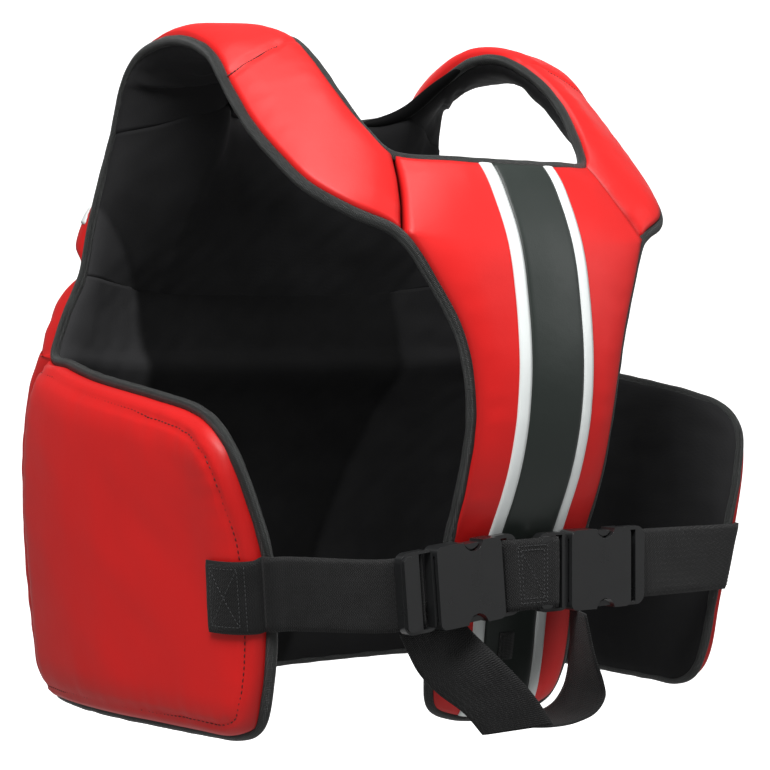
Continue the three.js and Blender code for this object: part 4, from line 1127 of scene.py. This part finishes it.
def plug(side, at, tilt, inner):
    o = plate(outline(0.4, FRAME_LENGTH, BUCKLE_HEIGHT - 1.2, 7), 7)
    combine(o, box((inner, FRAME_LENGTH - PLUG_BAR), (-20, 20), (-SLOT_HEIGHT / 2, SLOT_HEIGHT / 2)), "DIFFERENCE")
    # The bar swells outwards into a grip
    grip_from, grip_to = FRAME_LENGTH - PLUG_BAR + 3, FRAME_LENGTH - 1.5
    combine(o, plate(outline(grip_from, grip_to, BUCKLE_HEIGHT - 6, 4.2), 7, 2.2), "UNION")
    fork_half = MOUTH_HEIGHT / 2 - 2
    combine(o, box((-8, 1.5), (-2.6, 2.6), (-fork_half, fork_half)), "UNION")
    combine(o, box((-30, 1.5), (-2.6, 2.6), (-5, 5)), "UNION")
    for way in (-1, 1):
        middle = way * (fork_half - 3.75)
        combine(o, box((-45, 1.5), (-2.6, 2.6), (middle - 3.75, middle + 3.75)), "UNION")
        # The part of the arm that is pressed fills most of the notch
        rise = BUCKLE_HEIGHT / 2 + 2
        turns = np.radians(np.linspace(208, 332, 17))
        press = [(-NOTCH_BACK + 7.4 * math.cos(a), way * (rise + 7.4 * math.sin(a))) for a in turns]
        combine(o, plate(press, 10), "UNION")
        combine(o, box((-NOTCH_BACK - 3, -NOTCH_BACK + 3), (-2.6, 2.6), sorted((way * 18, way * 25))), "UNION")
    return softened(o, f"{side}_buckle_fork", 1.0, f"{side}_buckle_plug", buckle_middle(at, tilt), tilt)


for side, at, tilt in (("left", LEFT_BUCKLE_AT, LEFT_TILT), ("right", RIGHT_BUCKLE_AT, 0)):
    socket(side, at, tilt)
    # The belt fills more of the right plug's slot
    plug(side, at, tilt, INNER_BAR if side == "left" else 6)

# Stage, light and camera

FLOOR = -1.5
floor_paper = node_material("floor_paper", (0.72, 0.72, 0.72), 0.9)[0]
wall_paper = node_material("wall_paper", (0.9, 0.9, 0.9), 0.9, Emission_Strength=0.95)[0]
wall_paper.node_tree.nodes["Principled BSDF"].inputs["Emission Color"].default_value = (1, 1, 1, 1)


def sweep(name, profile, half, material):
    """A pale sheet, its profile given away from the camera and up."""
    away, side_way = Vector((-0.6198, -0.7848, 0)), Vector((-0.7848, 0.6198, 0))
    verts = [tuple(away * d + side_way * w + Vector((0, 0, h))) for w in (-half, half) for d, h in profile]
    n = len(profile)
    mesh = bpy.data.meshes.new(name)
    mesh.from_pydata(verts, [], [(i, i + 1, n + i + 1, n + i) for i in range(n - 1)])
    mesh.materials.append(material)
    o = bpy.data.objects.new(name, mesh)
    bpy.context.scene.collection.objects.link(o)


sweep("floor", [(-4, FLOOR), (3.6, FLOOR)], 4, floor_paper)
sweep("wall", [(3.6, FLOOR), (3.6, 1.3)], 1.5, wall_paper)

world = bpy.data.worlds.new("studio")
bpy.context.scene.world = world
world.use_nodes = True
world.node_tree.nodes["Background"].inputs[0].default_value = (1, 1, 1, 1)
world.node_tree.nodes["Background"].inputs[1].default_value = 0.24


def area_light(name, location, target, size, power):
    data = bpy.data.lights.new(name, "AREA")
    data.shape = "RECTANGLE"
    data.size, data.size_y = size
    data.energy = power
    o = bpy.data.objects.new(name, data)
    o.location = location
    o.rotation_euler = (Vector(target) - Vector(location)).to_track_quat("-Z", "Y").to_euler()
    bpy.context.scene.collection.objects.link(o)
    return o


area_light("key", (0.95, 0.8, 0.95), (0.05, 0.05, -0.2), (0.7, 0.7), 31)
area_light("top", (0.1, 0.5, 1.15), (0, 0.05, -0.1), (0.9, 0.9), 15)
area_light("side", (-1.3, 1.3, 0.5), (0, 0, -0.2), (0.6, 1.0), 8)
bpy.context.scene.view_settings.view_transform = "Standard"

camera = bpy.data.cameras.new("photo_view")
camera.lens = 111.54
camera.sensor_width = 36
camera.shift_y = -0.0753
camera.clip_end = 50
camera_object = bpy.data.objects.new("photo_view", camera)
camera_object.location = (1.1240, 1.4444, -0.195)
camera_object.rotation_euler = (math.radians(90), 0, math.radians(141.7))
bpy.context.scene.collection.objects.link(camera_object)
bpy.context.scene.camera = camera_object

bpy.context.view_layer.update()
